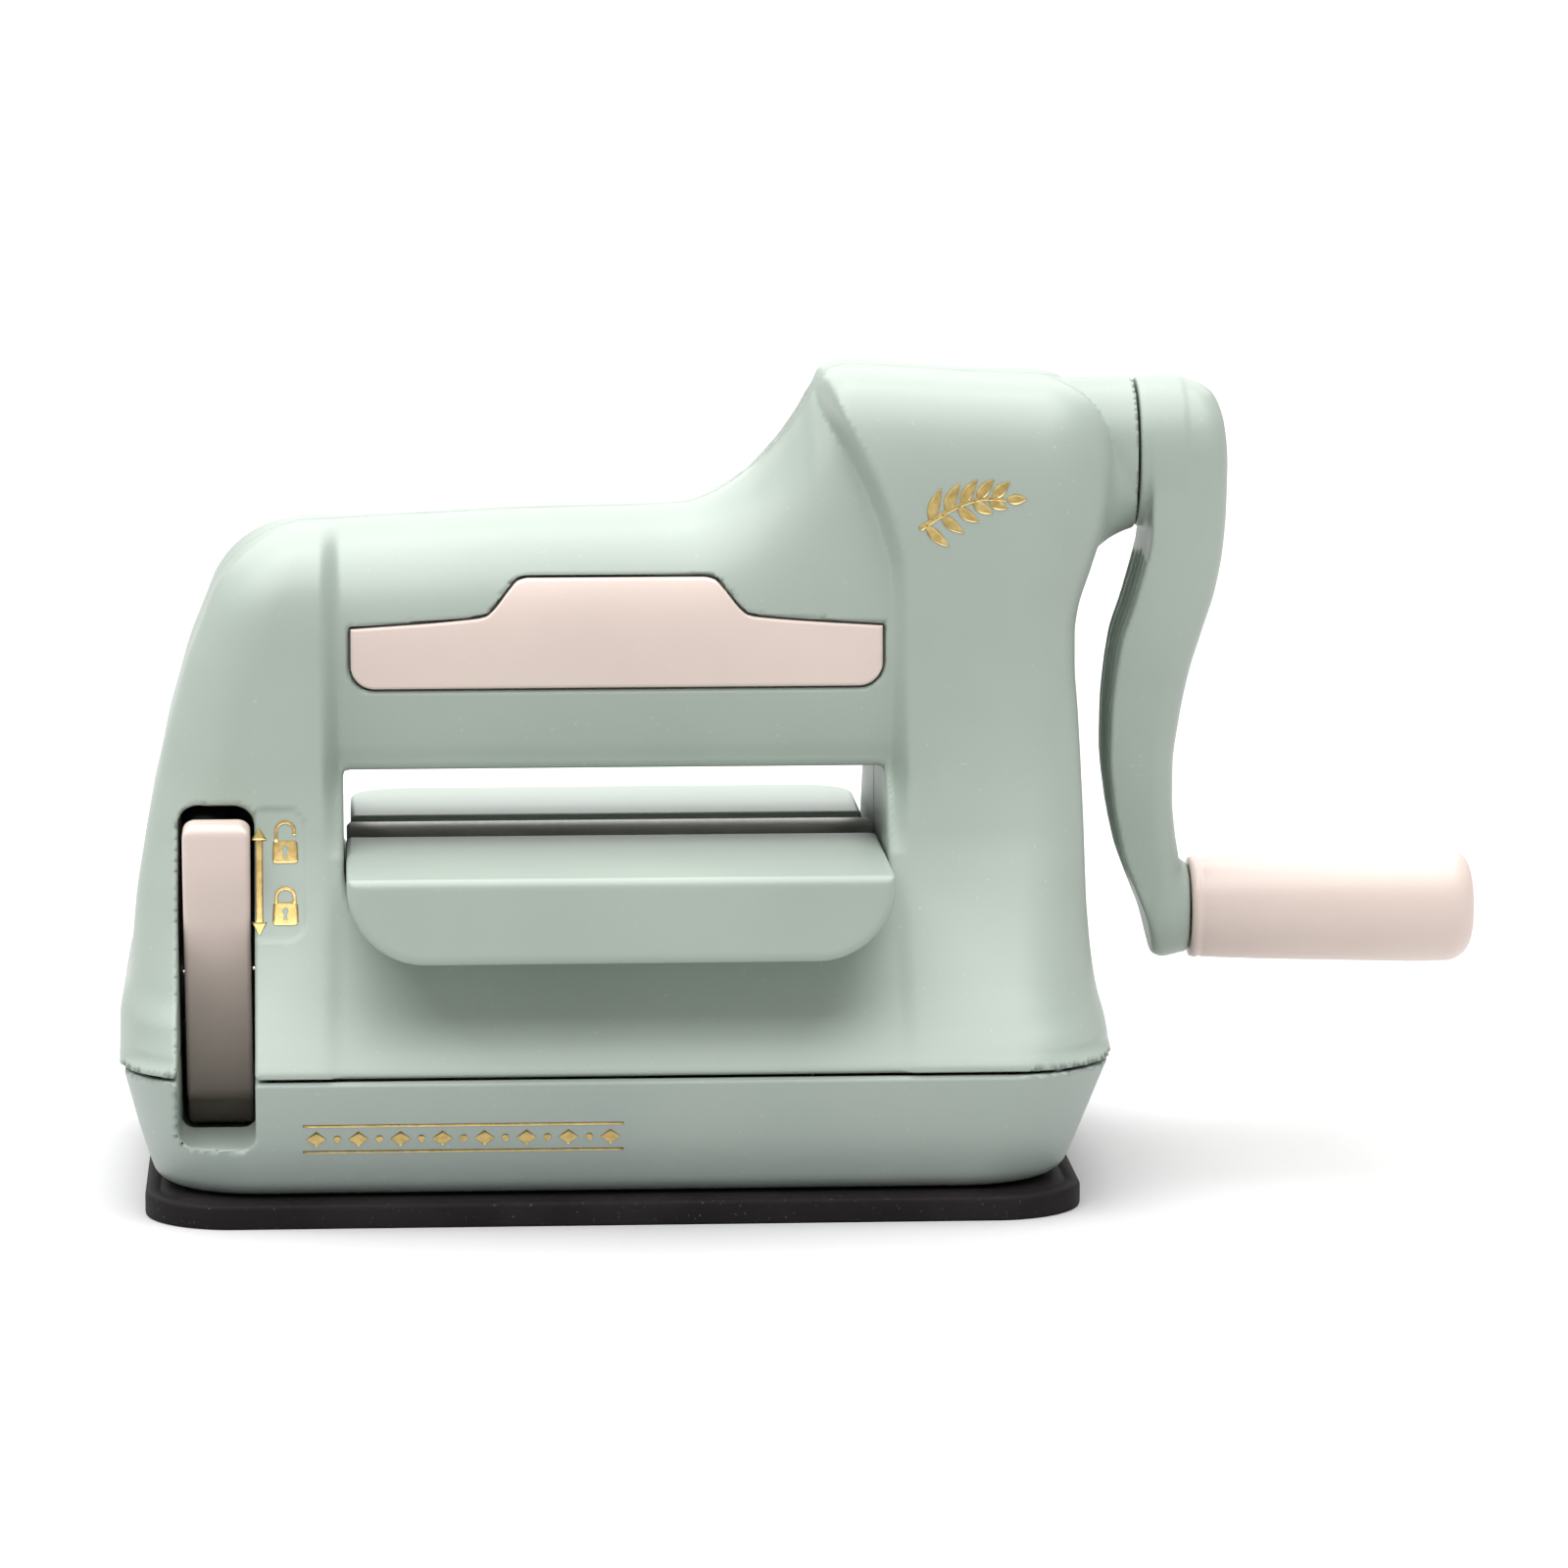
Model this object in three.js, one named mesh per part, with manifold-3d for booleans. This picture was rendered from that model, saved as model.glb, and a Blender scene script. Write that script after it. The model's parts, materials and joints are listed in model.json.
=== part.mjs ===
// A hand-cranked mini die cutting machine, as an assembly of separate pieces.
// Millimetres, +Z up, +X towards the crank, -Y towards the person who feeds the cards.
// The origin lies in the middle of the rubber mat's underside.

import * as THREE from 'three';
import { ParametricGeometry } from 'three/addons/geometries/ParametricGeometry.js';
import { mergeVertices } from 'three/addons/utils/BufferGeometryUtils.js';
import Module from 'manifold-3d';

const wasm = await Module();
wasm.setup();

// ---------- driving dimensions ----------

const GAP = 0.3;                 // between pieces that touch
const RUNNING = 0.1;             // radial clearance of a running fit
const WALL = 2.6;                // moulded shells

const MAT_TOP = 4;
const MAT = { left: -79.8, right: 75.9, half: 54.6, corner: 15 };
const BASE_FLOOR = 6.8;
const BASE_TOP = 24.4;
const HOUSING_BOTTOM = 24.9;

const OPENING = { left: -46.4, right: 44.2, top: 71.5 };
const FRONT_TRAY = { left: -46, right: 43.8, bottom: 44.1, top: 58.4, front: -58, rear: -11.5, corner: 13 };
const REAR_TRAY = { left: -45.2, right: 43, bottom: 50.4, top: 58.4, front: 11.5, rear: 44, corner: 9 };
const TRAY_WALL = 2.4;

const MODULE = 1.5;              // gear tooth size: pitch diameter / teeth
const TEETH = { pinion: 10, idlerLarge: 14, idlerSmall: 11, roller: 21 };
const BACKLASH = 0.1;            // the axes stand this much further apart than theory
const meshDistance = (a, b) => MODULE * (a + b) / 2 + BACKLASH;

const ROLLER_RADIUS = 11;
const LOWER_AXIS = 48;
const UPPER_AXIS = LOWER_AXIS + meshDistance(TEETH.roller, TEETH.roller);
const IDLER_AXIS = UPPER_AXIS + meshDistance(TEETH.roller, TEETH.idlerSmall);
const CRANK_AXIS = IDLER_AXIS + meshDistance(TEETH.idlerLarge, TEETH.pinion);
const JOURNAL_RADIUS = 4;
const LARGE_GEAR_PLANE = [52.5, 58.5];
const ROLLER_GEAR_PLANE = [59.3, 66.3];

const FRAME_THICK = 2.4;
const CHEEK = 2;                 // inner walls of the housing beside the opening
const LEFT_FRAME = [-51.4, -51.4 + FRAME_THICK];
const RIGHT_FRAME = [46.8, 46.8 + FRAME_THICK];
const FRAME_HALF = 23;
const FRAME_FOOT = BASE_FLOOR + GAP;
const FRAME_TOP = 97;
const TIE_BARS = { front_low: [-17, 33], rear_low: [17, 33], front_high: [-16, 94], rear_high: [16, 94] };
const TIE_RADIUS = 2.5;

const HUB_RADIUS = 12.7;
const NECK_END = 88;
const GRIP_AXIS = 43.1;
const GRIP = { start: 98.3, end: 147.2, bore: 3.1 };

const LEVER = { left: -73, right: -61.9, y: -8, z: 16, hub: 7 };
const SLOT = { left: -74.2, right: -60.9, bottom: 8.6, top: 66.4, back: 4 };
const LIFT_ARM = 8;              // the cam pin stands this far behind the lever shaft
const LIFT_PLATE = { radius: 29, bottom: 4.2, top: 6.2, hole: 31.5 };

// ---------- materials ----------

const finish = (color, roughness, metalness = 0) =>
  new THREE.MeshStandardMaterial({ color, roughness, metalness });
const mint = finish(0xa9bbae, 0.42);
const mintLower = finish(0xa4b5ad, 0.42);
const cream = finish(0xeadbd0, 0.4);
const rubber = finish(0x241f20, 0.85);
const steel = finish(0x8a8784, 0.32, 1);
const plateSteel = finish(0xc9c7c6, 0.38, 1);
const bronze = finish(0xa98652, 0.4, 1);
const nylon = finish(0xe6e3da, 0.5);
const zinc = finish(0xb5b6b8, 0.35, 1);

// ---------- solids ----------

// Turns a closed three.js geometry into a solid, pointing its faces outwards.
function solid(geometry) {
  geometry.deleteAttribute('normal');
  geometry.deleteAttribute('uv');
  const merged = mergeVertices(geometry, 1e-4);
  const position = merged.attributes.position;
  const triangles = [];
  let volume = 0;
  const a = new THREE.Vector3();
  const b = new THREE.Vector3();
  const c = new THREE.Vector3();
  for (let i = 0; i < merged.index.count; i += 3) {
    const [p, q, r] = [0, 1, 2].map((k) => merged.index.getX(i + k));
    if (p === q || q === r || r === p) continue;
    triangles.push(p, q, r);
    a.fromBufferAttribute(position, p);
    b.fromBufferAttribute(position, q);
    c.fromBufferAttribute(position, r);
    volume += a.dot(b.cross(c));
  }
  if (volume < 0) triangles.reverse();
  return new wasm.Manifold(new wasm.Mesh({
    numProp: 3,
    vertProperties: new Float32Array(position.array),
    triVerts: new Uint32Array(triangles),
  }));
}

const machine = new THREE.Group();

// Adds a solid to the machine as a named mesh.
function piece(name, shape, material) {
  const mesh = shape.getMesh();
  const geometry = new THREE.BufferGeometry();
  geometry.setAttribute('position', new THREE.BufferAttribute(mesh.vertProperties, 3));
  geometry.setIndex(new THREE.BufferAttribute(mesh.triVerts, 1));
  const flat = geometry.toNonIndexed();
  flat.computeVertexNormals();
  const object = new THREE.Mesh(flat, material);
  object.name = name;
  machine.add(object);
}

const union = (first, ...rest) => rest.reduce((sum, next) => sum.add(next), first);

function box([x0, x1], [y0, y1], [z0, z1]) {
  const geometry = new THREE.BoxGeometry(x1 - x0, y1 - y0, z1 - z0);
  return solid(geometry.translate((x0 + x1) / 2, (y0 + y1) / 2, (z0 + z1) / 2));
}

// A round bar along X, Y or Z from one coordinate to another.
function bar(axis, from, to, radius, [first, second], segments = 20) {
  const geometry = new THREE.CylinderGeometry(radius, radius, to - from, segments);
  const middle = (from + to) / 2;
  if (axis === 'x') geometry.rotateZ(Math.PI / 2).translate(middle, first, second);
  if (axis === 'y') geometry.translate(first, middle, second);
  if (axis === 'z') geometry.rotateX(Math.PI / 2).translate(first, second, middle);
  return solid(geometry);
}

// A turned piece along X: profile holds [x, radius] pairs.
function turnedX(profile, z, segments = 24) {
  const points = profile.map(([x, radius]) => new THREE.Vector2(radius, x));
  points.unshift(new THREE.Vector2(0, profile[0][0]));
  points.push(new THREE.Vector2(0, profile[profile.length - 1][0]));
  const geometry = new THREE.LatheGeometry(points, segments);
  return solid(geometry.rotateZ(-Math.PI / 2).translate(0, 0, z));
}

// An outline drawn in the front view (X, Z), carried along Y.
function frontExtrusion(shape, [y0, y1], curveSegments = 6) {
  const geometry = new THREE.ExtrudeGeometry(shape, { depth: y1 - y0, bevelEnabled: false, curveSegments });
  return solid(geometry.rotateX(Math.PI / 2).translate(0, y1, 0));
}

// An outline drawn in the side view (Y, Z), carried along X.
function sideExtrusion(shape, [x0, x1], curveSegments = 6) {
  const geometry = new THREE.ExtrudeGeometry(shape, { depth: x1 - x0, bevelEnabled: false, curveSegments });
  geometry.rotateX(Math.PI / 2).rotateZ(Math.PI / 2);
  return solid(geometry.translate(x0, 0, 0));
}

// An outline drawn in plan (X, Y), carried up along Z.
function planExtrusion(shape, [z0, z1], curveSegments = 6) {
  const geometry = new THREE.ExtrudeGeometry(shape, { depth: z1 - z0, bevelEnabled: false, curveSegments });
  return solid(geometry.translate(0, 0, z0));
}

function polygon(points) {
  return new THREE.Shape(points.map(([x, y]) => new THREE.Vector2(x, y)));
}

// A rectangle with its own radius at the low and at the high corners.
function roundedRectangle([x0, x1], [y0, y1], low, high = low) {
  const shape = new THREE.Shape();
  shape.moveTo(x0, y0 + low);
  shape.absarc(x0 + low, y0 + low, low, Math.PI, 1.5 * Math.PI);
  shape.absarc(x1 - low, y0 + low, low, 1.5 * Math.PI, 2 * Math.PI);
  shape.absarc(x1 - high, y1 - high, high, 0, 0.5 * Math.PI);
  shape.absarc(x0 + high, y1 - high, high, 0.5 * Math.PI, Math.PI);
  return shape;
}

// A stack of rounded rectangles: each station is [z, left, right, half depth, corner radius].
const CORNER_STEPS = 4;
function loft(stations) {
  const first = stations[0];
  const last = stations[stations.length - 1];
  const closing = (s) => [s[0], (s[1] + s[2]) / 2, (s[1] + s[2]) / 2, 0, 0];
  const rings = [closing(first), ...stations, closing(last)];
  const around = 4 * CORNER_STEPS;
  const geometry = new ParametricGeometry((u, v, target) => {
    const [z, left, right, half, corner] = rings[Math.round(v * (rings.length - 1))];
    const step = Math.round(u * around) % around;
    const quarter = Math.floor(step / CORNER_STEPS);
    const angle = (quarter + (step % CORNER_STEPS) / (CORNER_STEPS - 1)) * Math.PI / 2;
    const sideX = quarter === 0 || quarter === 3 ? right - corner : left + corner;
    const sideY = quarter < 2 ? half - corner : corner - half;
    target.set(sideX + corner * Math.cos(angle), sideY + corner * Math.sin(angle), z);
  }, around, rings.length - 1);
  return solid(geometry);
}

// The same stack pulled in by a wall thickness; its roof comes down by the same amount.
function inset(stations, wall, roofStart) {
  return stations.map(([z, left, right, half, corner]) => {
    const lowered = z > roofStart ? Math.min(1, (z - roofStart) / 12) * wall : 0;
    return [z - lowered, left + wall, right - wall, Math.max(half - wall, 0.4), Math.max(corner - wall, 0.3)];
  });
}

// ---------- housing ----------

// Skirt and the lower, wide part of the body, up to the shoulder over the rollers.
const BODY_STATIONS = [
  [HOUSING_BOTTOM, -84, 66, 55, 18],
  [31, -84, 66, 50.6, 17],
  [37, -82.8, 66, 45.6, 15],
  [44, -81.4, 66, 40.8, 13],
  [52, -79.9, 66, 36, 12],
  [60, -79.4, 66, 32.2, 11],
  [70, -77.6, 66, 28.8, 11],
  [84, -74.2, 66, 26.6, 11],
  [96, -69.9, 66, 25.4, 12],
  [103.6, -64.3, 64, 23, 12],
  [108, -59.4, 60, 19, 12],
  [110.8, -53, 54, 14, 11],
  [112.4, -45, 46, 8, 7.5],
  [112.9, -38, 40, 4, 3.8],
];

// The tower over the gears, which sweeps up from the shoulder to the crank.
const TOWER_STATIONS = [
  [HOUSING_BOTTOM, 20, 81.4, 55, 18],
  [31, 20, 80.6, 50.6, 17],
  [37, 20, 79.3, 45.6, 15],
  [44, 20, 78.6, 40.8, 13],
  [52, 20, 78.4, 36, 12],
  [60, 20, 78.4, 32.2, 11],
  [70, 20, 78, 28.8, 11],
  [84, 20, 77.3, 26.6, 11],
  [96, 20, 77.6, 25.6, 11],
  [104, 20, 80, 25, 11],
  [112, 8, 82.5, 24.4, 11],
  [114.8, 15.4, 83, 23.9, 11],
  [118.9, 22.1, 83.2, 22.8, 11],
  [123.9, 27.1, 83.2, 21, 11],
  [129.7, 31.3, 82.8, 17.2, 10],
  [134, 33.4, 80.5, 12, 9],
  [136.4, 35.2, 74, 7.4, 6.5],
  [137.6, 38, 62, 3.4, 3.2],
];

const ROOF_START = 96;
const outerBody = union(
  loft(BODY_STATIONS),
  loft(TOWER_STATIONS),
  bar('x', 72, NECK_END, HUB_RADIUS, [0, CRANK_AXIS], 32),
);

// The hollow starts below the seam, so that the shell stays open at the bottom.
const belowSeam = (stations) => [[HOUSING_BOTTOM - 6, ...stations[0].slice(1)], ...stations];
const hollowBody = union(
  loft(belowSeam(inset(BODY_STATIONS, WALL, ROOF_START))),
  loft(belowSeam(inset(TOWER_STATIONS, WALL, ROOF_START))),
  bar('x', 70, NECK_END - WALL, HUB_RADIUS - WALL, [0, CRANK_AXIS]),
);

// Gap for the die sandwich, with the sockets that hold the two trays.
const frontCut = frontExtrusion(
  roundedRectangle([OPENING.left, OPENING.right], [FRONT_TRAY.bottom - 0.4, OPENING.top], FRONT_TRAY.corner + 0.4, 1),
  [-80, 0]);
const rearCut = frontExtrusion(
  roundedRectangle([OPENING.left, OPENING.right], [REAR_TRAY.bottom - 0.4, OPENING.top], 1, 1),
  [-0.01, 80]);

// Walled pocket for the suction lever, one part in the housing and one in the base.
const pocketCut = box([SLOT.left, SLOT.right], [-80, SLOT.back], [SLOT.bottom, SLOT.top]);
const pocketWall = (low, high) =>
  box([SLOT.left - 1.8, SLOT.right + 1.8], [-60, SLOT.back + 1.8], [low, high]);

// Cover panel: a raised middle with sloping shoulders, and rounded lower corners.
const PANEL = { front: -27.2, back: -25.2, bottom: 85.2 };
function panelOutline(grow) {
  const shape = new THREE.Shape();
  const [left, right, bottom, corner] = [-45 - grow, 43.9 + grow, PANEL.bottom - grow, 4];
  shape.moveTo(left, bottom + corner);
  shape.absarc(left + corner, bottom + corner, corner, Math.PI, 1.5 * Math.PI);
  shape.absarc(right - corner, bottom + corner, corner, 1.5 * Math.PI, 2 * Math.PI);
  shape.lineTo(right, 95.4 + grow);
  shape.lineTo(23 + grow, 97 + grow);
  shape.quadraticCurveTo(21.4 + grow, 97.2 + grow, 20.4 + grow, 98.4 + grow);
  shape.lineTo(17.4 + grow, 102.3 + grow);
  shape.quadraticCurveTo(16.5 + grow, 103.4 + grow, 15 + grow, 103.4 + grow);
  shape.lineTo(-15.8 - grow, 103.4 + grow);
  shape.quadraticCurveTo(-17.2 - grow, 103.4 + grow, -18.1 - grow, 102.3 + grow);
  shape.lineTo(-21.2 - grow, 98.4 + grow);
  shape.quadraticCurveTo(-22.2 - grow, 97.2 + grow, -23.8 - grow, 97.2 + grow);
  shape.lineTo(left, 95.6 + grow);
  return shape;
}

// Posts that the screws bite into; each is trimmed to the inside of the housing.
const BASE_SCREWS = [[-68, 36], [-30, 38], [30, 38], [68, 36], [-30, -38], [30, -38], [68, -36]];
const HOUSING_SCREWS = [[-64, 92], [-70, 56], [72.5, 56], [0, 106.6], [41, 127.5]];
const POST_RADIUS = 3.6;
const SCREW_HOLE = 1.9;

let shell = outerBody.subtract(hollowBody);
for (const [x, y] of BASE_SCREWS) {
  const post = bar('z', HOUSING_BOTTOM + 0.4, 60, POST_RADIUS, [x, y], 12);
  shell = shell.add(post.intersect(outerBody).subtract(box([OPENING.left, OPENING.right], [-80, 80], [43, 80])));
}
for (const [x, z] of HOUSING_SCREWS) {
  shell = shell.add(bar('y', -60, 60, POST_RADIUS, [x, z], 12).intersect(outerBody));
}
shell = shell.add(pocketWall(HOUSING_BOTTOM, SLOT.top + 1.8).intersect(outerBody));
for (const [x0, x1] of [[OPENING.left - CHEEK, OPENING.left], [OPENING.right, OPENING.right + CHEEK]]) {
  const cheek = box([x0, x1], [-60, 60], [HOUSING_BOTTOM, UPPER_AXIS + 12]).intersect(outerBody);
  const journalHoles = [LOWER_AXIS, UPPER_AXIS].map((z) => bar('x', x0 - 1, x1 + 1, 6, [0, z]));
  const tieHoles = Object.values(TIE_BARS).map(([y, z]) => bar('x', x0 - 1, x1 + 1, TIE_RADIUS + GAP, [y, z]));
  shell = shell.add(cheek.subtract(union(...journalHoles, ...tieHoles)));
}
shell = shell.subtract(union(frontCut, rearCut, pocketCut));
shell = shell.subtract(frontExtrusion(panelOutline(GAP), [-40, PANEL.back + GAP]));
for (const [x, y] of BASE_SCREWS) {
  shell = shell.subtract(bar('z', 0, 36, SCREW_HOLE, [x, y], 12));
}

const SPLIT_GAP = 0.15;
const frontHalf = box([-120, 120], [-80, -SPLIT_GAP], [0, 160]);
const rearHalf = box([-120, 120], [SPLIT_GAP, 80], [0, 160]);

// Bore for the crank's outer bush, which both halves clamp.
const BUSH_RADIUS = 7;
const neckBore = bar('x', NECK_END - WALL - 1, NECK_END + 1, BUSH_RADIUS + GAP, [0, CRANK_AXIS]);
shell = shell.subtract(neckBore);

let frontShell = shell.intersect(frontHalf);
let rearShell = shell.intersect(rearHalf);
for (const [x, z] of HOUSING_SCREWS) {
  frontShell = frontShell.subtract(bar('y', -16, 1, SCREW_HOLE, [x, z], 12));
  rearShell = rearShell.subtract(bar('y', -1, 60, SCREW_HOLE, [x, z], 12));
  rearShell = rearShell.subtract(bar('y', 8, 60, 3.1, [x, z], 12));
}
const largestBody = (shape) =>
  shape.decompose().reduce((best, next) => (next.volume() > best.volume() ? next : best));
piece('front_housing', largestBody(frontShell), mint);
piece('rear_housing', largestBody(rearShell), mint);
piece('cover_panel', frontExtrusion(panelOutline(0), [PANEL.front, PANEL.back]), cream);

// ---------- base and mat ----------

const BASE_STATIONS = [
  [MAT_TOP + GAP, -77.2, 72.6, 47.8, 16],
  [6.2, -78.4, 74, 49, 17],
  [14, -80.6, 76.8, 52.2, 18],
  [BASE_TOP, -83.2, 80.6, 55, 18],
];
const baseHollow = [
  [BASE_FLOOR, -75.8, 71.4, 46.4, 15],
  [14, -78, 74.2, 49.6, 16],
  [BASE_TOP + 1, -80.8, 78.4, 52.4, 16],
];
const outerBase = loft(BASE_STATIONS);
let baseShell = outerBase.subtract(loft(baseHollow));
baseShell = baseShell.add(pocketWall(MAT_TOP + 1, BASE_TOP).intersect(outerBase));
for (const [x, y] of BASE_SCREWS) {
  baseShell = baseShell.add(bar('z', BASE_FLOOR - 1, BASE_TOP, 4.4, [x, y], 12).intersect(outerBase));
}
const shaftHole = bar('x', SLOT.right - 1, SLOT.right + 4, 3.4, [LEVER.y, LEVER.z]);
baseShell = baseShell.subtract(union(pocketCut, shaftHole, bar('z', 0, 10, LIFT_PLATE.hole, [0, 0], 32)));
for (const [x, y] of BASE_SCREWS) {
  baseShell = baseShell.subtract(bar('z', 0, 30, SCREW_HOLE, [x, y], 12));
  baseShell = baseShell.subtract(bar('z', 0, 9.2, 3.1, [x, y], 12));
}
piece('base_shell', largestBody(baseShell), mintLower);

const matSheet = planExtrusion(
  roundedRectangle([MAT.left, MAT.right], [-MAT.half, MAT.half], MAT.corner), [0, MAT_TOP]);
piece('suction_mat', matSheet, rubber);

// ---------- trays ----------

function frontTray() {
  const t = FRONT_TRAY;
  const outer = frontExtrusion(roundedRectangle([t.left, t.right], [t.bottom, t.top], t.corner, 1.2), [t.front, -24]);
  const inner = frontExtrusion(
    roundedRectangle(
      [t.left + TRAY_WALL, t.right - TRAY_WALL],
      [t.bottom + TRAY_WALL, t.top - TRAY_WALL],
      t.corner - TRAY_WALL - 3, 0.6),
    [t.front + TRAY_WALL, -20]);
  const shelf = box([t.left, t.right], [-30, t.rear], [t.top - TRAY_WALL, t.top]);
  return outer.subtract(inner).add(shelf);
}

function rearTray() {
  const t = REAR_TRAY;
  const plan = new THREE.Shape();
  plan.moveTo(t.left, 24);
  plan.lineTo(t.right, 24);
  plan.absarc(t.right - t.corner, t.rear - t.corner, t.corner, 0, Math.PI / 2);
  plan.absarc(t.left + t.corner, t.rear - t.corner, t.corner, Math.PI / 2, Math.PI);
  const outer = planExtrusion(plan, [t.bottom, t.top]);
  const hollow = box(
    [t.left + TRAY_WALL, t.right - TRAY_WALL],
    [20, t.rear - t.corner + 2],
    [t.bottom - 1, t.top - TRAY_WALL]);
  const shelf = box([t.left, t.right], [t.front, 30], [t.top - TRAY_WALL, t.top]);
  return outer.subtract(hollow).add(shelf);
}
piece('front_tray', frontTray(), mint);
piece('rear_tray', rearTray(), mint);

// ---------- steel frame ----------

function sideFrame([x0, x1], top, extra) {
  let plate = sideExtrusion(
    roundedRectangle([-FRAME_HALF, FRAME_HALF], [FRAME_FOOT, FRAME_TOP], 2, 6), [x0, x1]);
  if (extra) plate = plate.add(extra);
  for (const z of [LOWER_AXIS, UPPER_AXIS]) {
    plate = plate.subtract(bar('x', x0 - 1, x1 + 1, BUSH_RADIUS + GAP, [0, z], 24));
  }
  for (const [y, z] of Object.values(TIE_BARS)) {
    plate = plate.subtract(bar('x', x0 - 1, x1 + 1, 1.8, [y, z], 12));
  }
  return plate.subtract(box([x0 - 1, x1 + 1], [-30, 30], [0, top]));
}
const towerPlate = sideExtrusion(
  polygon([[-18, 90], [18, 90], [11.5, 126], [7, 130], [-7, 130], [-11.5, 126]]), RIGHT_FRAME);
const rightPlate = sideFrame(RIGHT_FRAME, FRAME_FOOT, towerPlate)
  .subtract(bar('x', RIGHT_FRAME[0] - 1, RIGHT_FRAME[1] + 1, BUSH_RADIUS + GAP, [0, CRANK_AXIS]))
  .subtract(bar('x', RIGHT_FRAME[0] - 1, RIGHT_FRAME[1] + 1, 2.8, [0, IDLER_AXIS], 16));
const leftPlate = sideFrame(LEFT_FRAME, FRAME_FOOT)
  .subtract(bar('x', LEFT_FRAME[0] - 1, LEFT_FRAME[1] + 1, 3.1, [LEVER.y, LEVER.z]));
piece('side_frame_right', rightPlate, plateSteel);
piece('side_frame_left', leftPlate, plateSteel);

// Each tie bar has a thin spigot at both ends that goes through the plates.
for (const [name, [y, z]] of Object.entries(TIE_BARS)) {
  const tie = union(
    bar('x', LEFT_FRAME[1] + GAP, RIGHT_FRAME[0] - GAP, TIE_RADIUS, [y, z], 16),
    bar('x', LEFT_FRAME[0] - 2, RIGHT_FRAME[1] + 2, 1.5, [y, z], 12));
  piece(`tie_bar_${name}`, tie, zinc);
}

// A flanged bearing bush pressed into a plate, with its flange on the left or on the right.
function bush(name, [x0, x1], z, flangeSide) {
  const sleeve = bar('x', x0 - 0.6, x1 + 0.6, BUSH_RADIUS, [0, z]);
  const flange = flangeSide === 'left' ? [x0 - 1.6, x0 - GAP] : [x1 + GAP, x1 + 1.6];
  const ring = bar('x', ...flange, BUSH_RADIUS + 1.6, [0, z]);
  piece(name, sleeve.add(ring).subtract(bar('x', x0 - 3, x1 + 3, JOURNAL_RADIUS + RUNNING, [0, z])), bronze);
}
bush('lower_bush_left', LEFT_FRAME, LOWER_AXIS, 'left');
bush('upper_bush_left', LEFT_FRAME, UPPER_AXIS, 'left');
bush('lower_bush_right', RIGHT_FRAME, LOWER_AXIS, 'right');
bush('upper_bush_right', RIGHT_FRAME, UPPER_AXIS, 'right');
bush('crank_bush_inner', RIGHT_FRAME, CRANK_AXIS, 'right');
bush('crank_bush_outer', [NECK_END - WALL, NECK_END - 0.9], CRANK_AXIS, 'left');

// ---------- rollers and gears ----------

// A spur gear around X with slim straight-sided teeth; the phase is in teeth.
function gear(teeth, [x0, x1], z, bore, phase) {
  const pitch = MODULE * teeth / 2;
  const toothAngle = 2 * Math.PI / teeth;
  const levels = [[pitch - 1.2 * MODULE, 0.28], [pitch, 0.21], [pitch + 0.8 * MODULE, 0.09]];
  const points = [];
  for (let tooth = 0; tooth < teeth; tooth += 1) {
    const centre = (tooth + phase) * toothAngle;
    const flanks = [
      ...levels.map(([radius, share]) => [radius, -share]),
      ...levels.map(([radius, share]) => [radius, share]).reverse(),
    ];
    for (const [radius, share] of flanks) {
      const angle = centre + share * toothAngle;
      points.push([radius * Math.cos(angle), radius * Math.sin(angle)]);
    }
  }
  const wheel = sideExtrusion(polygon(points), [x0, x1]).translate([0, 0, z]);
  return wheel.subtract(bar('x', x0 - 1, x1 + 1, bore, [0, z]));
}

// The phase that turns a tooth, or the gap between two teeth, to the top of the gear.
const toothUp = (teeth) => teeth / 4;
const gapUp = (teeth) => teeth / 4 + 0.5;

function roller(name, z, phase) {
  const leftEnd = OPENING.left + 0.5;
  const rightEnd = OPENING.right - 0.5;
  const journalLeft = LEFT_FRAME[0] - 3;
  const journalRight = ROLLER_GEAR_PLANE[1] + 3.2;
  piece(name, turnedX([
    [journalLeft, JOURNAL_RADIUS],
    [leftEnd, JOURNAL_RADIUS],
    [leftEnd, ROLLER_RADIUS],
    [rightEnd, ROLLER_RADIUS],
    [rightEnd, JOURNAL_RADIUS],
    [journalRight, JOURNAL_RADIUS],
  ], z), steel);
  piece(`${name}_gear`, gear(TEETH.roller, ROLLER_GEAR_PLANE, z, JOURNAL_RADIUS + GAP, phase), zinc);
  const clip = bar('x', ROLLER_GEAR_PLANE[1] + GAP, ROLLER_GEAR_PLANE[1] + 1.3, 6.4, [0, z])
    .subtract(bar('x', 50, 70, JOURNAL_RADIUS + GAP, [0, z]));
  piece(`${name}_clip`, clip, zinc);
}
roller('lower_roller', LOWER_AXIS, toothUp(TEETH.roller));
roller('upper_roller', UPPER_AXIS, toothUp(TEETH.roller));

const idler = union(
  gear(TEETH.idlerLarge, LARGE_GEAR_PLANE, IDLER_AXIS, 1, gapUp(TEETH.idlerLarge)),
  gear(TEETH.idlerSmall, [LARGE_GEAR_PLANE[1] - 0.2, ROLLER_GEAR_PLANE[1]], IDLER_AXIS, 1, toothUp(TEETH.idlerSmall)),
).subtract(bar('x', 40, 80, 2.5 + RUNNING, [0, IDLER_AXIS]));
piece('idler_gear', idler, zinc);
piece('idler_pin', union(
  bar('x', RIGHT_FRAME[0] - 0.2, ROLLER_GEAR_PLANE[1] + 3, 2.5, [0, IDLER_AXIS]),
  bar('x', RIGHT_FRAME[1] + GAP, LARGE_GEAR_PLANE[0] - GAP, 4, [0, IDLER_AXIS])), zinc);

// ---------- crank ----------

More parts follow.
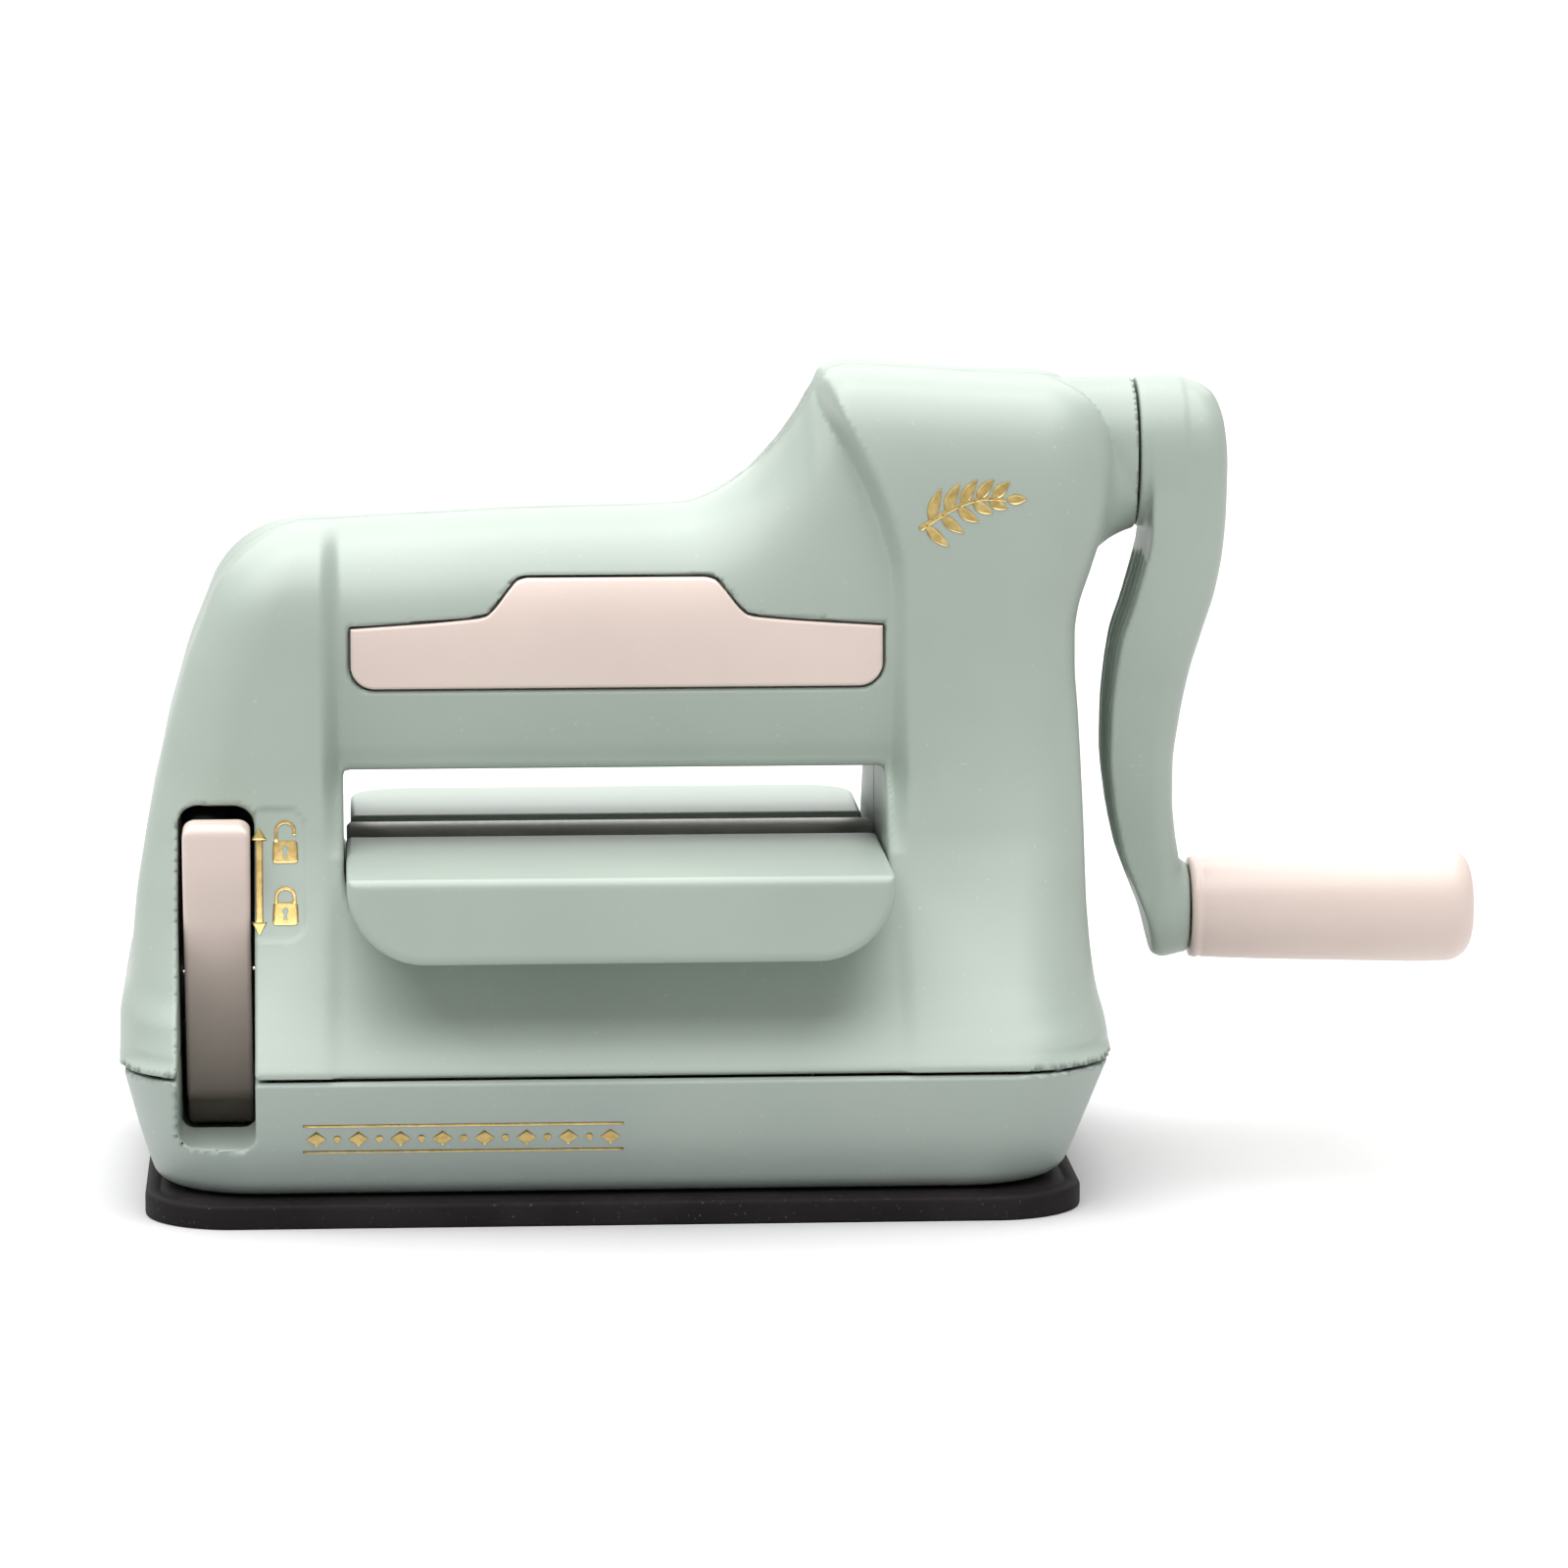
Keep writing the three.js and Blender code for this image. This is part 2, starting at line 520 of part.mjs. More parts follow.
const shaftEnd = 99;
piece('crank_shaft', bar('x', RIGHT_FRAME[0] - 2, shaftEnd, JOURNAL_RADIUS, [0, CRANK_AXIS], 32), zinc);
piece('crank_pinion', gear(
  TEETH.pinion, LARGE_GEAR_PLANE, CRANK_AXIS, JOURNAL_RADIUS + GAP, toothUp(TEETH.pinion)), zinc);

// Front view of the arm: a round hub that sweeps in and down to the grip.
function armFrontOutline() {
  const shape = new THREE.Shape();
  const hubTop = CRANK_AXIS + HUB_RADIUS - 0.2;
  shape.moveTo(NECK_END + 0.5, hubTop);
  shape.lineTo(97, hubTop);
  shape.quadraticCurveTo(99.6, hubTop, 101.4, hubTop - 4.2);
  shape.quadraticCurveTo(103.8, 125, 103.6, 119);
  shape.bezierCurveTo(103.4, 106, 99.6, 95, 97, 86);
  shape.bezierCurveTo(94.2, 76, 93.4, 62, 95.6, 53);
  shape.quadraticCurveTo(96.2, 51.6, 97.8, 51);
  shape.lineTo(97.8, GRIP_AXIS - 8);
  shape.lineTo(94, GRIP_AXIS - 8.2);
  shape.quadraticCurveTo(91.6, 35, 90.4, 39);
  shape.bezierCurveTo(82.6, 56, 82.6, 80, 87.6, 94);
  shape.quadraticCurveTo(90.2, 102, 90.6, CRANK_AXIS - HUB_RADIUS);
  shape.lineTo(NECK_END + 0.5, CRANK_AXIS - HUB_RADIUS);
  return shape;
}

// Side view of the arm: wide at the hub, narrow at the grip, round at both ends.
function armSideOutline() {
  const shape = new THREE.Shape();
  const tip = 8.2;
  shape.moveTo(-tip, GRIP_AXIS);
  shape.absarc(0, GRIP_AXIS, tip, Math.PI, 2 * Math.PI);
  shape.lineTo(HUB_RADIUS, CRANK_AXIS);
  shape.absarc(0, CRANK_AXIS, HUB_RADIUS, 0, Math.PI);
  return shape;
}
const pinFoot = 91.5;
const arm = frontExtrusion(armFrontOutline(), [-20, 20], 5)
  .intersect(sideExtrusion(armSideOutline(), [80, 110], 12))
  .subtract(bar('x', 80, shaftEnd + GAP, JOURNAL_RADIUS + GAP, [0, CRANK_AXIS]))
  .subtract(bar('x', 80, 110, 2.1, [0, CRANK_AXIS], 12))
  .subtract(bar('x', 101.6, 110, 3.6, [0, CRANK_AXIS], 16))
  .subtract(bar('x', pinFoot, 110, 3 + GAP, [0, GRIP_AXIS]));
piece('crank_arm', arm, mint);

const crankScrew = union(
  bar('x', shaftEnd + GAP, 102.4, 1.7, [0, CRANK_AXIS], 12),
  bar('x', 102, 103.5, 3.2, [0, CRANK_AXIS], 16));
piece('crank_screw', crankScrew, zinc);
const grip = turnedX([
  [GRIP.start, 7.8],
  [GRIP.start + 0.8, 8.7],
  [112, 9.1],
  [128, 9.6],
  [140, 9.85],
  [143.6, 9.5],
  [146.2, 8],
  [GRIP.end, 5.4],
], GRIP_AXIS);
piece('grip_pin', bar('x', pinFoot + GAP, 138, 3, [0, GRIP_AXIS]), zinc);
piece('crank_grip', grip.subtract(bar('x', 90, 139, GRIP.bore, [0, GRIP_AXIS])), cream);

// ---------- suction lever ----------

function leverOutline() {
  const shape = new THREE.Shape();
  shape.moveTo(LEVER.y - 6.5, LEVER.z - 3.8);
  shape.absarc(LEVER.y, LEVER.z, LEVER.hub, 1.17 * Math.PI, 2.15 * Math.PI);
  shape.bezierCurveTo(-7, 32, -20, 50, -30.4, 63.2);
  shape.quadraticCurveTo(-31.4, 64.6, -33.4, 65);
  shape.lineTo(-38.6, 65);
  shape.quadraticCurveTo(-41.4, 64.6, -41.4, 62);
  shape.bezierCurveTo(-39.4, 50, -31, 33, -22.5, 17);
  shape.quadraticCurveTo(-20.5, 12.6, LEVER.y - 6.5, LEVER.z - 3.8);
  return shape;
}
const lever = sideExtrusion(leverOutline(), [LEVER.left, LEVER.right], 8)
  .subtract(bar('x', LEVER.left + 2, LEVER.right + 1, 3 + GAP, [LEVER.y, LEVER.z]));
piece('suction_lever', lever, cream);
piece('lever_shaft', bar('x', LEVER.left + 2 + GAP, 5, 3, [LEVER.y, LEVER.z]), zinc);

const camPin = LEVER.y + LIFT_ARM;
const camPlate = sideExtrusion(
  roundedRectangle([LEVER.y - 5.6, camPin + 3.2], [LEVER.z - 5, LEVER.z + 5], 2.6), [-9, -4.6])
  .subtract(bar('x', -10, 10, 3 + GAP, [LEVER.y, LEVER.z]));
piece('suction_cam', camPlate.add(bar('x', -4.8, 5, 1.5, [camPin, LEVER.z], 16)), zinc);

// Lift plate on the middle of the mat, with a stem; the cam pin rides in the stem's slot and lifts it.
const slotHole = sideExtrusion(
  roundedRectangle([camPin - 2.6, camPin + 2.2], [LEVER.z - 1.75, LEVER.z + 1.75], 1), [-10, 10]);
const stem = box([-3.9, 3.9], [-4, 5], [LIFT_PLATE.top + 0.1, LEVER.z + 4]).subtract(slotHole);
piece('lift_plate', bar('z', LIFT_PLATE.bottom, LIFT_PLATE.top, LIFT_PLATE.radius, [0, 0], 32), nylon);
piece('lift_stem', stem, nylon);

// ---------- screws ----------

BASE_SCREWS.forEach(([x, y], index) => {
  const screw = union(
    bar('z', 6.4, 33, 1.5, [x, y], 8),
    bar('z', 6.2, 8.6, 2.7, [x, y], 8));
  piece(`base_screw_${index + 1}`, screw, zinc);
});
HOUSING_SCREWS.forEach(([x, z], index) => {
  const screw = union(
    bar('y', -14, 10, 1.5, [x, z], 8),
    bar('y', 8.6, 10.8, 2.7, [x, z], 8));
  piece(`housing_screw_${index + 1}`, screw, zinc);
});

export default machine;
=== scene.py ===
# %% [markdown]
# # A hand-cranked mini die cutting machine
#
# The machine is a set of satin plastic mouldings round a steel roller press. The plain engineering model is loaded as a
# fixed frame. Each cell after that makes one piece or one finish, and says why it is made that way. All shapes are
# worked out in millimetres, in the frame's own axes: +X towards the crank, -Y towards the person, +Z up.

# %% The frame
import json

import bpy
import numpy as np
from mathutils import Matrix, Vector


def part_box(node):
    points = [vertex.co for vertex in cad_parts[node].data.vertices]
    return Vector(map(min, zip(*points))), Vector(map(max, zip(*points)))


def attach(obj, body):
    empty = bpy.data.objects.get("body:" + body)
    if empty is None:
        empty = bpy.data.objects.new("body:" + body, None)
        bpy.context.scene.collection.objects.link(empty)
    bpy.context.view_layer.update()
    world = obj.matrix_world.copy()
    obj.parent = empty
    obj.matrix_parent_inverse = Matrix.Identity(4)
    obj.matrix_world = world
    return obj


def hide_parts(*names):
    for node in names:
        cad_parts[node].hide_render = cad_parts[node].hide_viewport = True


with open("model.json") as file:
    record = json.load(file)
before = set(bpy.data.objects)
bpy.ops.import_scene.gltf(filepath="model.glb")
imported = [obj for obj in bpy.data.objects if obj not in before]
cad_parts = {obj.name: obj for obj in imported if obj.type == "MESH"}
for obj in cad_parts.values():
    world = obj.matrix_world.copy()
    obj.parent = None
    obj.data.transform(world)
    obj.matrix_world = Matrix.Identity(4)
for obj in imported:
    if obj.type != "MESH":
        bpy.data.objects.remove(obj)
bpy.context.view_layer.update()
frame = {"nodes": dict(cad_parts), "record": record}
MM = 0.001


def limits(node):
    """The lowest and highest corner of a CAD node, in millimetres."""
    low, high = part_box(node)
    return np.array(low) / MM, np.array(high) / MM


def middle(node):
    """The middle of a CAD node's box, in millimetres."""
    low, high = limits(node)
    return (low + high) / 2


# %% [markdown]
# The camera stands a little to the left of the machine and a little above it, more than a metre away, so that the
# perspective is gentle. It is aimed at a point near the middle of the body.

# %% Camera
AZIMUTH = np.radians(3.45)
ELEVATION = np.radians(8.6)
DISTANCE = 1.25
AIM = Vector((0.0288, 0.0, 0.065))
LENS, SENSOR = 167.9, 36.0

sight = Vector((
    np.sin(AZIMUTH) * np.cos(ELEVATION),
    np.cos(AZIMUTH) * np.cos(ELEVATION),
    -np.sin(ELEVATION)))
camera_data = bpy.data.cameras.new("camera")
camera_data.lens = LENS
camera_data.sensor_width = SENSOR
camera = bpy.data.objects.new("camera", camera_data)
camera.location = AIM - DISTANCE * sight
camera.rotation_euler = sight.to_track_quat("-Z", "Y").to_euler()
bpy.context.scene.collection.objects.link(camera)
bpy.context.scene.camera = camera
print("camera at", [round(v, 3) for v in camera.location])

# %% [markdown]
# A product on white: one very soft sun stands nearly overhead, so roofs are bright, upright faces are half as bright
# and the undersides of the bridge and the tray fall into shade. A weaker one from behind reaches into the feed gap and
# the rear tray. A sun lights the whole floor evenly, however far it goes, which a lamp at a distance can't do. A dim
# white room fills the shadows.

# %% Studio
FLOOR_HALF = 20.0
floor_corners = [(sx * FLOOR_HALF, sy * FLOOR_HALF, 0) for sx, sy in ((-1, -1), (1, -1), (1, 1), (-1, 1))]
floor_mesh = bpy.data.meshes.new("floor")
floor_mesh.from_pydata(floor_corners, [], [(0, 1, 2, 3)])
floor = bpy.data.objects.new("floor", floor_mesh)
bpy.context.scene.collection.objects.link(floor)


def soft_sun(name, tilt_front, tilt_side, strength, spread):
    """A sun with a wide disc, tilted from overhead towards the front and the left; all angles in degrees."""
    data = bpy.data.lights.new(name, "SUN")
    data.energy = strength
    data.angle = np.radians(spread)
    light = bpy.data.objects.new(name, data)
    light.rotation_euler = (np.radians(tilt_front), -np.radians(tilt_side), 0.0)
    bpy.context.scene.collection.objects.link(light)


soft_sun("overhead", 3.0, 6.0, 4.8, 80.0)
soft_sun("back", -52.0, 0.0, 1.1, 60.0)

world = bpy.data.worlds.new("room")
world.use_nodes = True
room_light = world.node_tree.nodes["Background"]
room_light.inputs["Color"].default_value = (1.0, 1.0, 1.0, 1.0)
room_light.inputs["Strength"].default_value = 0.5
bpy.context.scene.world = world
bpy.context.scene.view_settings.view_transform = "Standard"
print("studio: two soft suns in a white room")

# %% [markdown]
# Shader maths reads best as plain expressions. The class below wraps a socket, so that `1 - mask * 0.2` builds the Math
# nodes by itself. Colours go through a Mix node instead, because a Math node would turn them grey.


# %% Shader expressions
class Value:
    """A socket of a node tree, with the usual operators for numbers."""

    def __init__(self, tree, socket):
        self.tree = tree
        self.socket = socket

    def node(self, kind, settings=None, inputs=None, out=0):
        """Adds a node, sets its settings, then its inputs, and wraps one of its outputs."""
        made = self.tree.nodes.new(kind)
        for name, value in (settings or {}).items():
            setattr(made, name, value)
        for name, value in (inputs or {}).items():
            self.feed(made.inputs[name], value)
        return Value(self.tree, made.outputs[out])

    def feed(self, target, value):
        """Links a wrapped socket, or sets a plain value."""
        if isinstance(value, Value):
            self.tree.links.new(value.socket, target)
        else:
            target.default_value = value

    def math(self, operation, first, second=0.0):
        return self.node("ShaderNodeMath", {"operation": operation}, {0: first, 1: second})

    def __add__(self, other):
        return self.math("ADD", self, other)

    def __radd__(self, other):
        return self.math("ADD", other, self)

    def __sub__(self, other):
        return self.math("SUBTRACT", self, other)

    def __rsub__(self, other):
        return self.math("SUBTRACT", other, self)

    def __mul__(self, other):
        return self.math("MULTIPLY", self, other)

    def __rmul__(self, other):
        return self.math("MULTIPLY", other, self)

    def between(self, low, high):
        """0 below low, 1 above high, and a soft step between."""
        return self.node(
            "ShaderNodeMapRange", {"interpolation_type": "SMOOTHSTEP"},
            {"Value": self, "From Min": low, "From Max": high})

    def noise(self, scale, detail=2.0, stretch=(1.0, 1.0, 1.0)):
        """Cloudy noise over the object's own coordinates; stretch squeezes it along an axis."""
        place = self.node("ShaderNodeTexCoord", out="Object")
        scaled = self.node("ShaderNodeMapping", None, {"Vector": place, "Scale": stretch})
        return self.node("ShaderNodeTexNoise", None, {"Vector": scaled, "Scale": scale, "Detail": detail})

    def mix(self, first, second):
        """Blends two colours by this value."""
        made = self.node("ShaderNodeMix", {"data_type": "RGBA"}, {"Factor": self})
        node = made.socket.node
        self.feed(node.inputs[6], first)
        self.feed(node.inputs[7], second)
        return Value(self.tree, node.outputs[2])

    def bump(self, height, distance, strength=1.0):
        """A Normal that follows a height, in metres of full height."""
        return self.node(
            "ShaderNodeBump", None, {"Height": height, "Distance": distance, "Strength": strength})


def new_material(name, roughness, metallic=0.0):
    """A Principled material; gives the material, a helper for its tree and its shader."""
    material = bpy.data.materials.new(name)
    material.use_nodes = True
    shader = material.node_tree.nodes["Principled BSDF"]
    shader.inputs["Roughness"].default_value = roughness
    shader.inputs["Metallic"].default_value = metallic
    return material, Value(material.node_tree, None), shader


def shade(color, factor):
    """A colour made lighter or darker, with full alpha."""
    return (color[0] * factor, color[1] * factor, color[2] * factor, 1.0)


print("shader helper ready")

# %% [markdown]
# The housing, base and trays are injection-moulded in a pale grey-green plastic. Its surface is satin: a very fine
# spark texture breaks up the highlights, the sheen varies a little from place to place, and a few specks catch light.
# The cream parts have the same texture. One function makes them all, with the colours as arguments.


# %% Moulded plastics
GRAIN_SCALE = 2600.0
CLOUD_SCALE = 26.0
SPECK_SCALE = 1400.0
SPECK_COLOR = (0.8, 0.8, 0.76, 1.0)
GRAIN_DEPTH = 0.00003


def moulded_plastic(name, color, roughness, shadow_tint):
    """Satin plastic: grain bump of about 0.4 mm, cloudy colour and sheen, and a few faint specks."""
    material, tree, shader = new_material(name, roughness)
    cloud = tree.noise(CLOUD_SCALE, 3.0)
    grain = tree.noise(GRAIN_SCALE, 2.0)
    specks = tree.noise(SPECK_SCALE, 0.0).between(0.80, 0.86)
    body = cloud.between(0.3, 0.7).mix(shade(shadow_tint, 0.97), shade(color, 1.02))
    tree.feed(shader.inputs["Base Color"], (specks * 0.12).mix(body, SPECK_COLOR))
    tree.feed(shader.inputs["Roughness"], roughness - 0.05 + cloud * 0.08 + grain * 0.03)
    tree.feed(shader.inputs["Normal"], tree.bump(grain * 0.8 + cloud * 0.5, GRAIN_DEPTH, 0.5))
    shader.inputs["Coat Weight"].default_value = 0.08
    shader.inputs["Coat Roughness"].default_value = 0.3
    return material


MINT = (0.335, 0.390, 0.342)
MINT_LOWER = (0.340, 0.395, 0.358)
CREAM = (0.660, 0.545, 0.492)
housing_plastic = moulded_plastic("housing_plastic", MINT, 0.42, (0.326, 0.382, 0.336))
base_plastic = moulded_plastic("base_plastic", MINT_LOWER, 0.44, (0.330, 0.386, 0.352))
cream_plastic = moulded_plastic("cream_plastic", CREAM, 0.38, (0.650, 0.536, 0.484))
print("plastics:", housing_plastic.name, base_plastic.name, cream_plastic.name)

# %% [markdown]
# The mat is black moulded rubber. Rubber is rough, picks up pale dust, and has shallow pits. The dust is a soft step on
# a fine noise, so it shows as sparse grey points that are also a little rougher.


# %% Rubber
RUBBER_DARK, RUBBER_PALE = (0.007, 0.005, 0.006, 1.0), (0.014, 0.011, 0.012, 1.0)
DUST_COLOR = (0.20, 0.17, 0.16, 1.0)


def mat_rubber():
    """Black rubber with dust points, faint blotches and a pitted surface."""
    material, tree, shader = new_material("rubber", 0.75)
    dust = tree.noise(1500.0, 1.0).between(0.68, 0.78)
    blotch = tree.noise(60.0, 3.0)
    pits = tree.noise(700.0, 3.0)
    base = blotch.between(0.35, 0.65).mix(RUBBER_DARK, RUBBER_PALE)
    shader.inputs["Specular IOR Level"].default_value = 0.2
    tree.feed(shader.inputs["Base Color"], (dust * 0.3).mix(base, DUST_COLOR))
    tree.feed(shader.inputs["Roughness"], 0.62 + blotch * 0.15 + dust * 0.15)
    tree.feed(shader.inputs["Normal"], tree.bump(pits, 0.00008, 0.6))
    return material


rubber = mat_rubber()
print("rubber:", rubber.name)

# %% [markdown]
# The rollers and shafts are ground and plated steel, the frames are stamped plate, and the bushes are sintered bronze.
# Turned parts show fine rings round their axis, which is a noise stretched round it. Plate shows a rolling direction.


# %% Metals
def worked_metal(name, color, roughness, stretch, depth):
    """Metal with fine lines in one direction, made by noise that is squeezed along the other one."""
    material, tree, shader = new_material(name, roughness, 1.0)
    lines = tree.noise(900.0, 3.0, stretch)
    smudge = tree.noise(45.0, 2.0)
    tint = smudge.between(0.3, 0.7).mix(shade(color, 0.86), shade(color, 1.06))
    tree.feed(shader.inputs["Base Color"], tint)
    tree.feed(shader.inputs["Roughness"], roughness - 0.08 + lines * 0.12 + smudge * 0.1)
    tree.feed(shader.inputs["Normal"], tree.bump(lines, depth, 0.5))
    return material


TURNED = (1.0, 0.04, 0.04)
ROLLED = (1.0, 1.0, 0.05)
EVEN = (1.0, 1.0, 1.0)
roller_steel = worked_metal("roller_steel", (0.50, 0.485, 0.47), 0.40, TURNED, 0.00002)
plate_steel = worked_metal("plate_steel", (0.60, 0.59, 0.58), 0.36, ROLLED, 0.00002)
zinc = worked_metal("zinc", (0.52, 0.53, 0.54), 0.3, TURNED, 0.00001)
bronze = worked_metal("bronze", (0.46, 0.30, 0.13), 0.45, EVEN, 0.00003)
print("metals:", roller_steel.name, plate_steel.name, zinc.name, bronze.name)

# %% [markdown]
# The lift plate and its stem are natural nylon, slightly waxy. The marks on the front are hot-foil prints in gold, so
# they are shiny, a little uneven where the foil lies thinner, and pick up the grain of the plastic beneath.


# %% Nylon, gold foil and floor
NYLON_DARK, NYLON_PALE = (0.74, 0.71, 0.64, 1.0), (0.80, 0.77, 0.70, 1.0)
FOIL_THIN, FOIL_THICK = (0.50, 0.36, 0.13, 1.0), (0.66, 0.49, 0.20, 1.0)
FLOOR_DARK, FLOOR_PALE = (0.58, 0.58, 0.58, 1.0), (0.60, 0.60, 0.60, 1.0)


def waxy_nylon():
    """Nylon: off-white with soft sheen and a fine even grain."""
    material, tree, shader = new_material("nylon", 0.45)
    grain = tree.noise(1200.0, 2.0)
    tree.feed(shader.inputs["Base Color"], grain.mix(NYLON_DARK, NYLON_PALE))
    tree.feed(shader.inputs["Roughness"], 0.42 + grain * 0.1)
    return material


def gold_foil():
    """Gold print: metallic ochre, duller where the foil is thin."""
    material, tree, shader = new_material("gold_print", 0.35, 0.85)
    thin = tree.noise(800.0, 2.0)
    tree.feed(shader.inputs["Base Color"], thin.between(0.3, 0.7).mix(FOIL_THIN, FOIL_THICK))
    tree.feed(shader.inputs["Roughness"], 0.28 + thin * 0.2)
    tree.feed(shader.inputs["Normal"], tree.bump(tree.noise(GRAIN_SCALE, 1.0), 0.00002, 0.5))
    return material


def paper_floor():
    """Matt paper for the floor, with a faint fibre."""
    material, tree, shader = new_material("floor_paper", 0.9)
    fibre = tree.noise(400.0, 2.0)
    tree.feed(shader.inputs["Base Color"], fibre.mix(FLOOR_DARK, FLOOR_PALE))
    return material


nylon = waxy_nylon()
gold_print = gold_foil()
floor.data.materials.append(paper_floor())

FINISH = {
    "housing_plastic": housing_plastic,
    "base_plastic": base_plastic,
    "cream_plastic": cream_plastic,
    "rubber": rubber,
    "roller_steel": roller_steel,
    "plate_steel": plate_steel,
    "zinc": zinc,
    "bronze": bronze,
    "nylon": nylon,
    "gold_print": gold_print,
}
for row in frame["record"]["subparts"]:
    node = frame["nodes"][row["node"]]
    node.data.materials.clear()
    node.data.materials.append(FINISH[row["material_slot"]])
print("finishes:", len(FINISH))

# %% [markdown]
# Every new piece ends the same way: its mesh is built from arrays in millimetres, scaled to metres, shaded smooth and
# given its finish. Then it is parented to the body it rides on, and the CAD nodes that it stands for are hidden.


# %% Putting a piece in the scene
def put(name, points, faces, slot, body, replaces=(), normals=None):
    """Makes an object from points in mm and faces; normals, where given, are the exact ones of the shape."""
    mesh = bpy.data.meshes.new(name)
    points = np.asarray(points, dtype=np.float64) * MM
    if isinstance(faces, np.ndarray):
        count, corners = faces.shape
        mesh.vertices.add(len(points))
        mesh.vertices.foreach_set("co", points.ravel())
        mesh.loops.add(count * corners)
        mesh.loops.foreach_set("vertex_index", faces.astype(np.int32).ravel())
        mesh.polygons.add(count)
        mesh.polygons.foreach_set("loop_start", np.arange(0, count * corners, corners, dtype=np.int32))
        mesh.update(calc_edges=True)
    else:
        mesh.from_pydata(points.tolist(), [], faces)
    mesh.validate()
    mesh.polygons.foreach_set("use_smooth", np.ones(len(mesh.polygons), dtype=bool))
    if normals is not None:
        mesh.normals_split_custom_set_from_vertices(normals.tolist())
    mesh.update()
    mesh.materials.append(FINISH[slot])
    piece = bpy.data.objects.new(name, mesh)
    bpy.context.scene.collection.objects.link(piece)
    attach(piece, body)
    if replaces:
        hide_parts(*replaces)
    print(f"{name}: {len(mesh.vertices)} points, {len(mesh.polygons)} faces")
    return piece


def grid_faces(rows, columns, wrap_rows=False, wrap_columns=False):
    """Quads of a grid whose point (i, j) is number i * columns + j."""
    i = np.arange(rows if wrap_rows else rows - 1)
    j = np.arange(columns if wrap_columns else columns - 1)
    i, j = np.meshgrid(i, j, indexing="ij")
    below = (i + 1) % rows
    beside = (j + 1) % columns
    quads = [i * columns + j, below * columns + j, below * columns + beside, i * columns + beside]
    return np.stack(quads, axis=-1).reshape(-1, 4)


# %% [markdown]
# A moulded shell with fillets, sockets and slots doesn't unroll onto one grid. It is easier to describe as a
# *distance*: a number at each point of space that is negative inside the plastic. Rounded edges are then one formula:
# where two walls meet, the distance to both is combined with a circle of the fillet's radius.


# %% Distances and curves
def meet(a, b, radius):
    """What is inside both a and b; their common edge is rounded with a circle."""
    corner = np.hypot(np.maximum(a + radius, 0), np.maximum(b + radius, 0))
    return np.minimum(-radius, np.maximum(a, b)) + corner


def join(a, b, radius):
    """What is inside a or b; the hollow corner between them is filled with a circle."""
    corner = np.hypot(np.maximum(radius - a, 0), np.maximum(radius - b, 0))
    return np.maximum(radius, np.minimum(a, b)) - corner


def cut(a, b, radius):
    """What is inside a but not b, with a rounded rim."""
    return meet(a, -b, radius)


def rectangle(u, v, low, high, radius):
    """Distance to a rectangle in two coordinates, with corners of a radius, which may vary."""
    centre = (np.array(low) + np.array(high)) / 2
    half = (np.array(high) - np.array(low)) / 2
    qu = np.abs(u - centre[0]) - half[0] + radius
    qv = np.abs(v - centre[1]) - half[1] + radius
    return np.minimum(np.maximum(qu, qv), 0) + np.hypot(np.maximum(qu, 0), np.maximum(qv, 0)) - radius


def curve(*points):
    """A smooth curve through (t, value) points that never overshoots: cubic pieces with limited slopes."""
    t, value = np.array(points, dtype=float).T
    step = np.diff(t)
    slope = np.diff(value) / step
    both = slope[:-1] * slope[1:]
    total = slope[:-1] + slope[1:]
    inner = np.where(both > 0, 2 * both / np.where(total == 0, 1, total), 0)
    tangent = np.concatenate(([slope[0]], inner, [slope[-1]]))

    def at(where):
        where = np.clip(where, t[0], t[-1])
        i = np.clip(np.searchsorted(t, where) - 1, 0, len(step) - 1)
        s = (where - t[i]) / step[i]
        start = (1 + 2 * s) * (1 - s) ** 2 * value[i] + s * (1 - s) ** 2 * step[i] * tangent[i]
        end = s * s * (3 - 2 * s) * value[i + 1] + s * s * (s - 1) * step[i] * tangent[i + 1]
        return start + end

    return at


def soft_step(value, low, high):
    """0 below low, 1 above high, smooth between."""
    s = np.clip((value - low) / (high - low), 0, 1)
    return s * s * (3 - 2 * s)


def slope_of(line, where, step=0.2):
    """Slope of a curve at each place, by central differences."""
    return (line(where + step) - line(where - step)) / (2 * step)


def levelled(height, value, *slopes):
    """Turns value - height, measured along one axis, into a distance across a surface with these slopes."""
    return (value - height) / np.sqrt(1 + sum(s * s for s in slopes))


print("distance helpers ready")


# %% [markdown]
# To get a mesh, the distance is worked out on a grid of small cells. Each cell that the surface crosses gets one point,
# at the mean of the crossings on its edges, and each crossed edge gives one quad between its four cells. Two Newton
# steps then put the points exactly on the surface, and the distance's gradient gives exact normals.


# %% From distance to mesh
NEWTON_REACH = 0.35
TINY = 1e-9


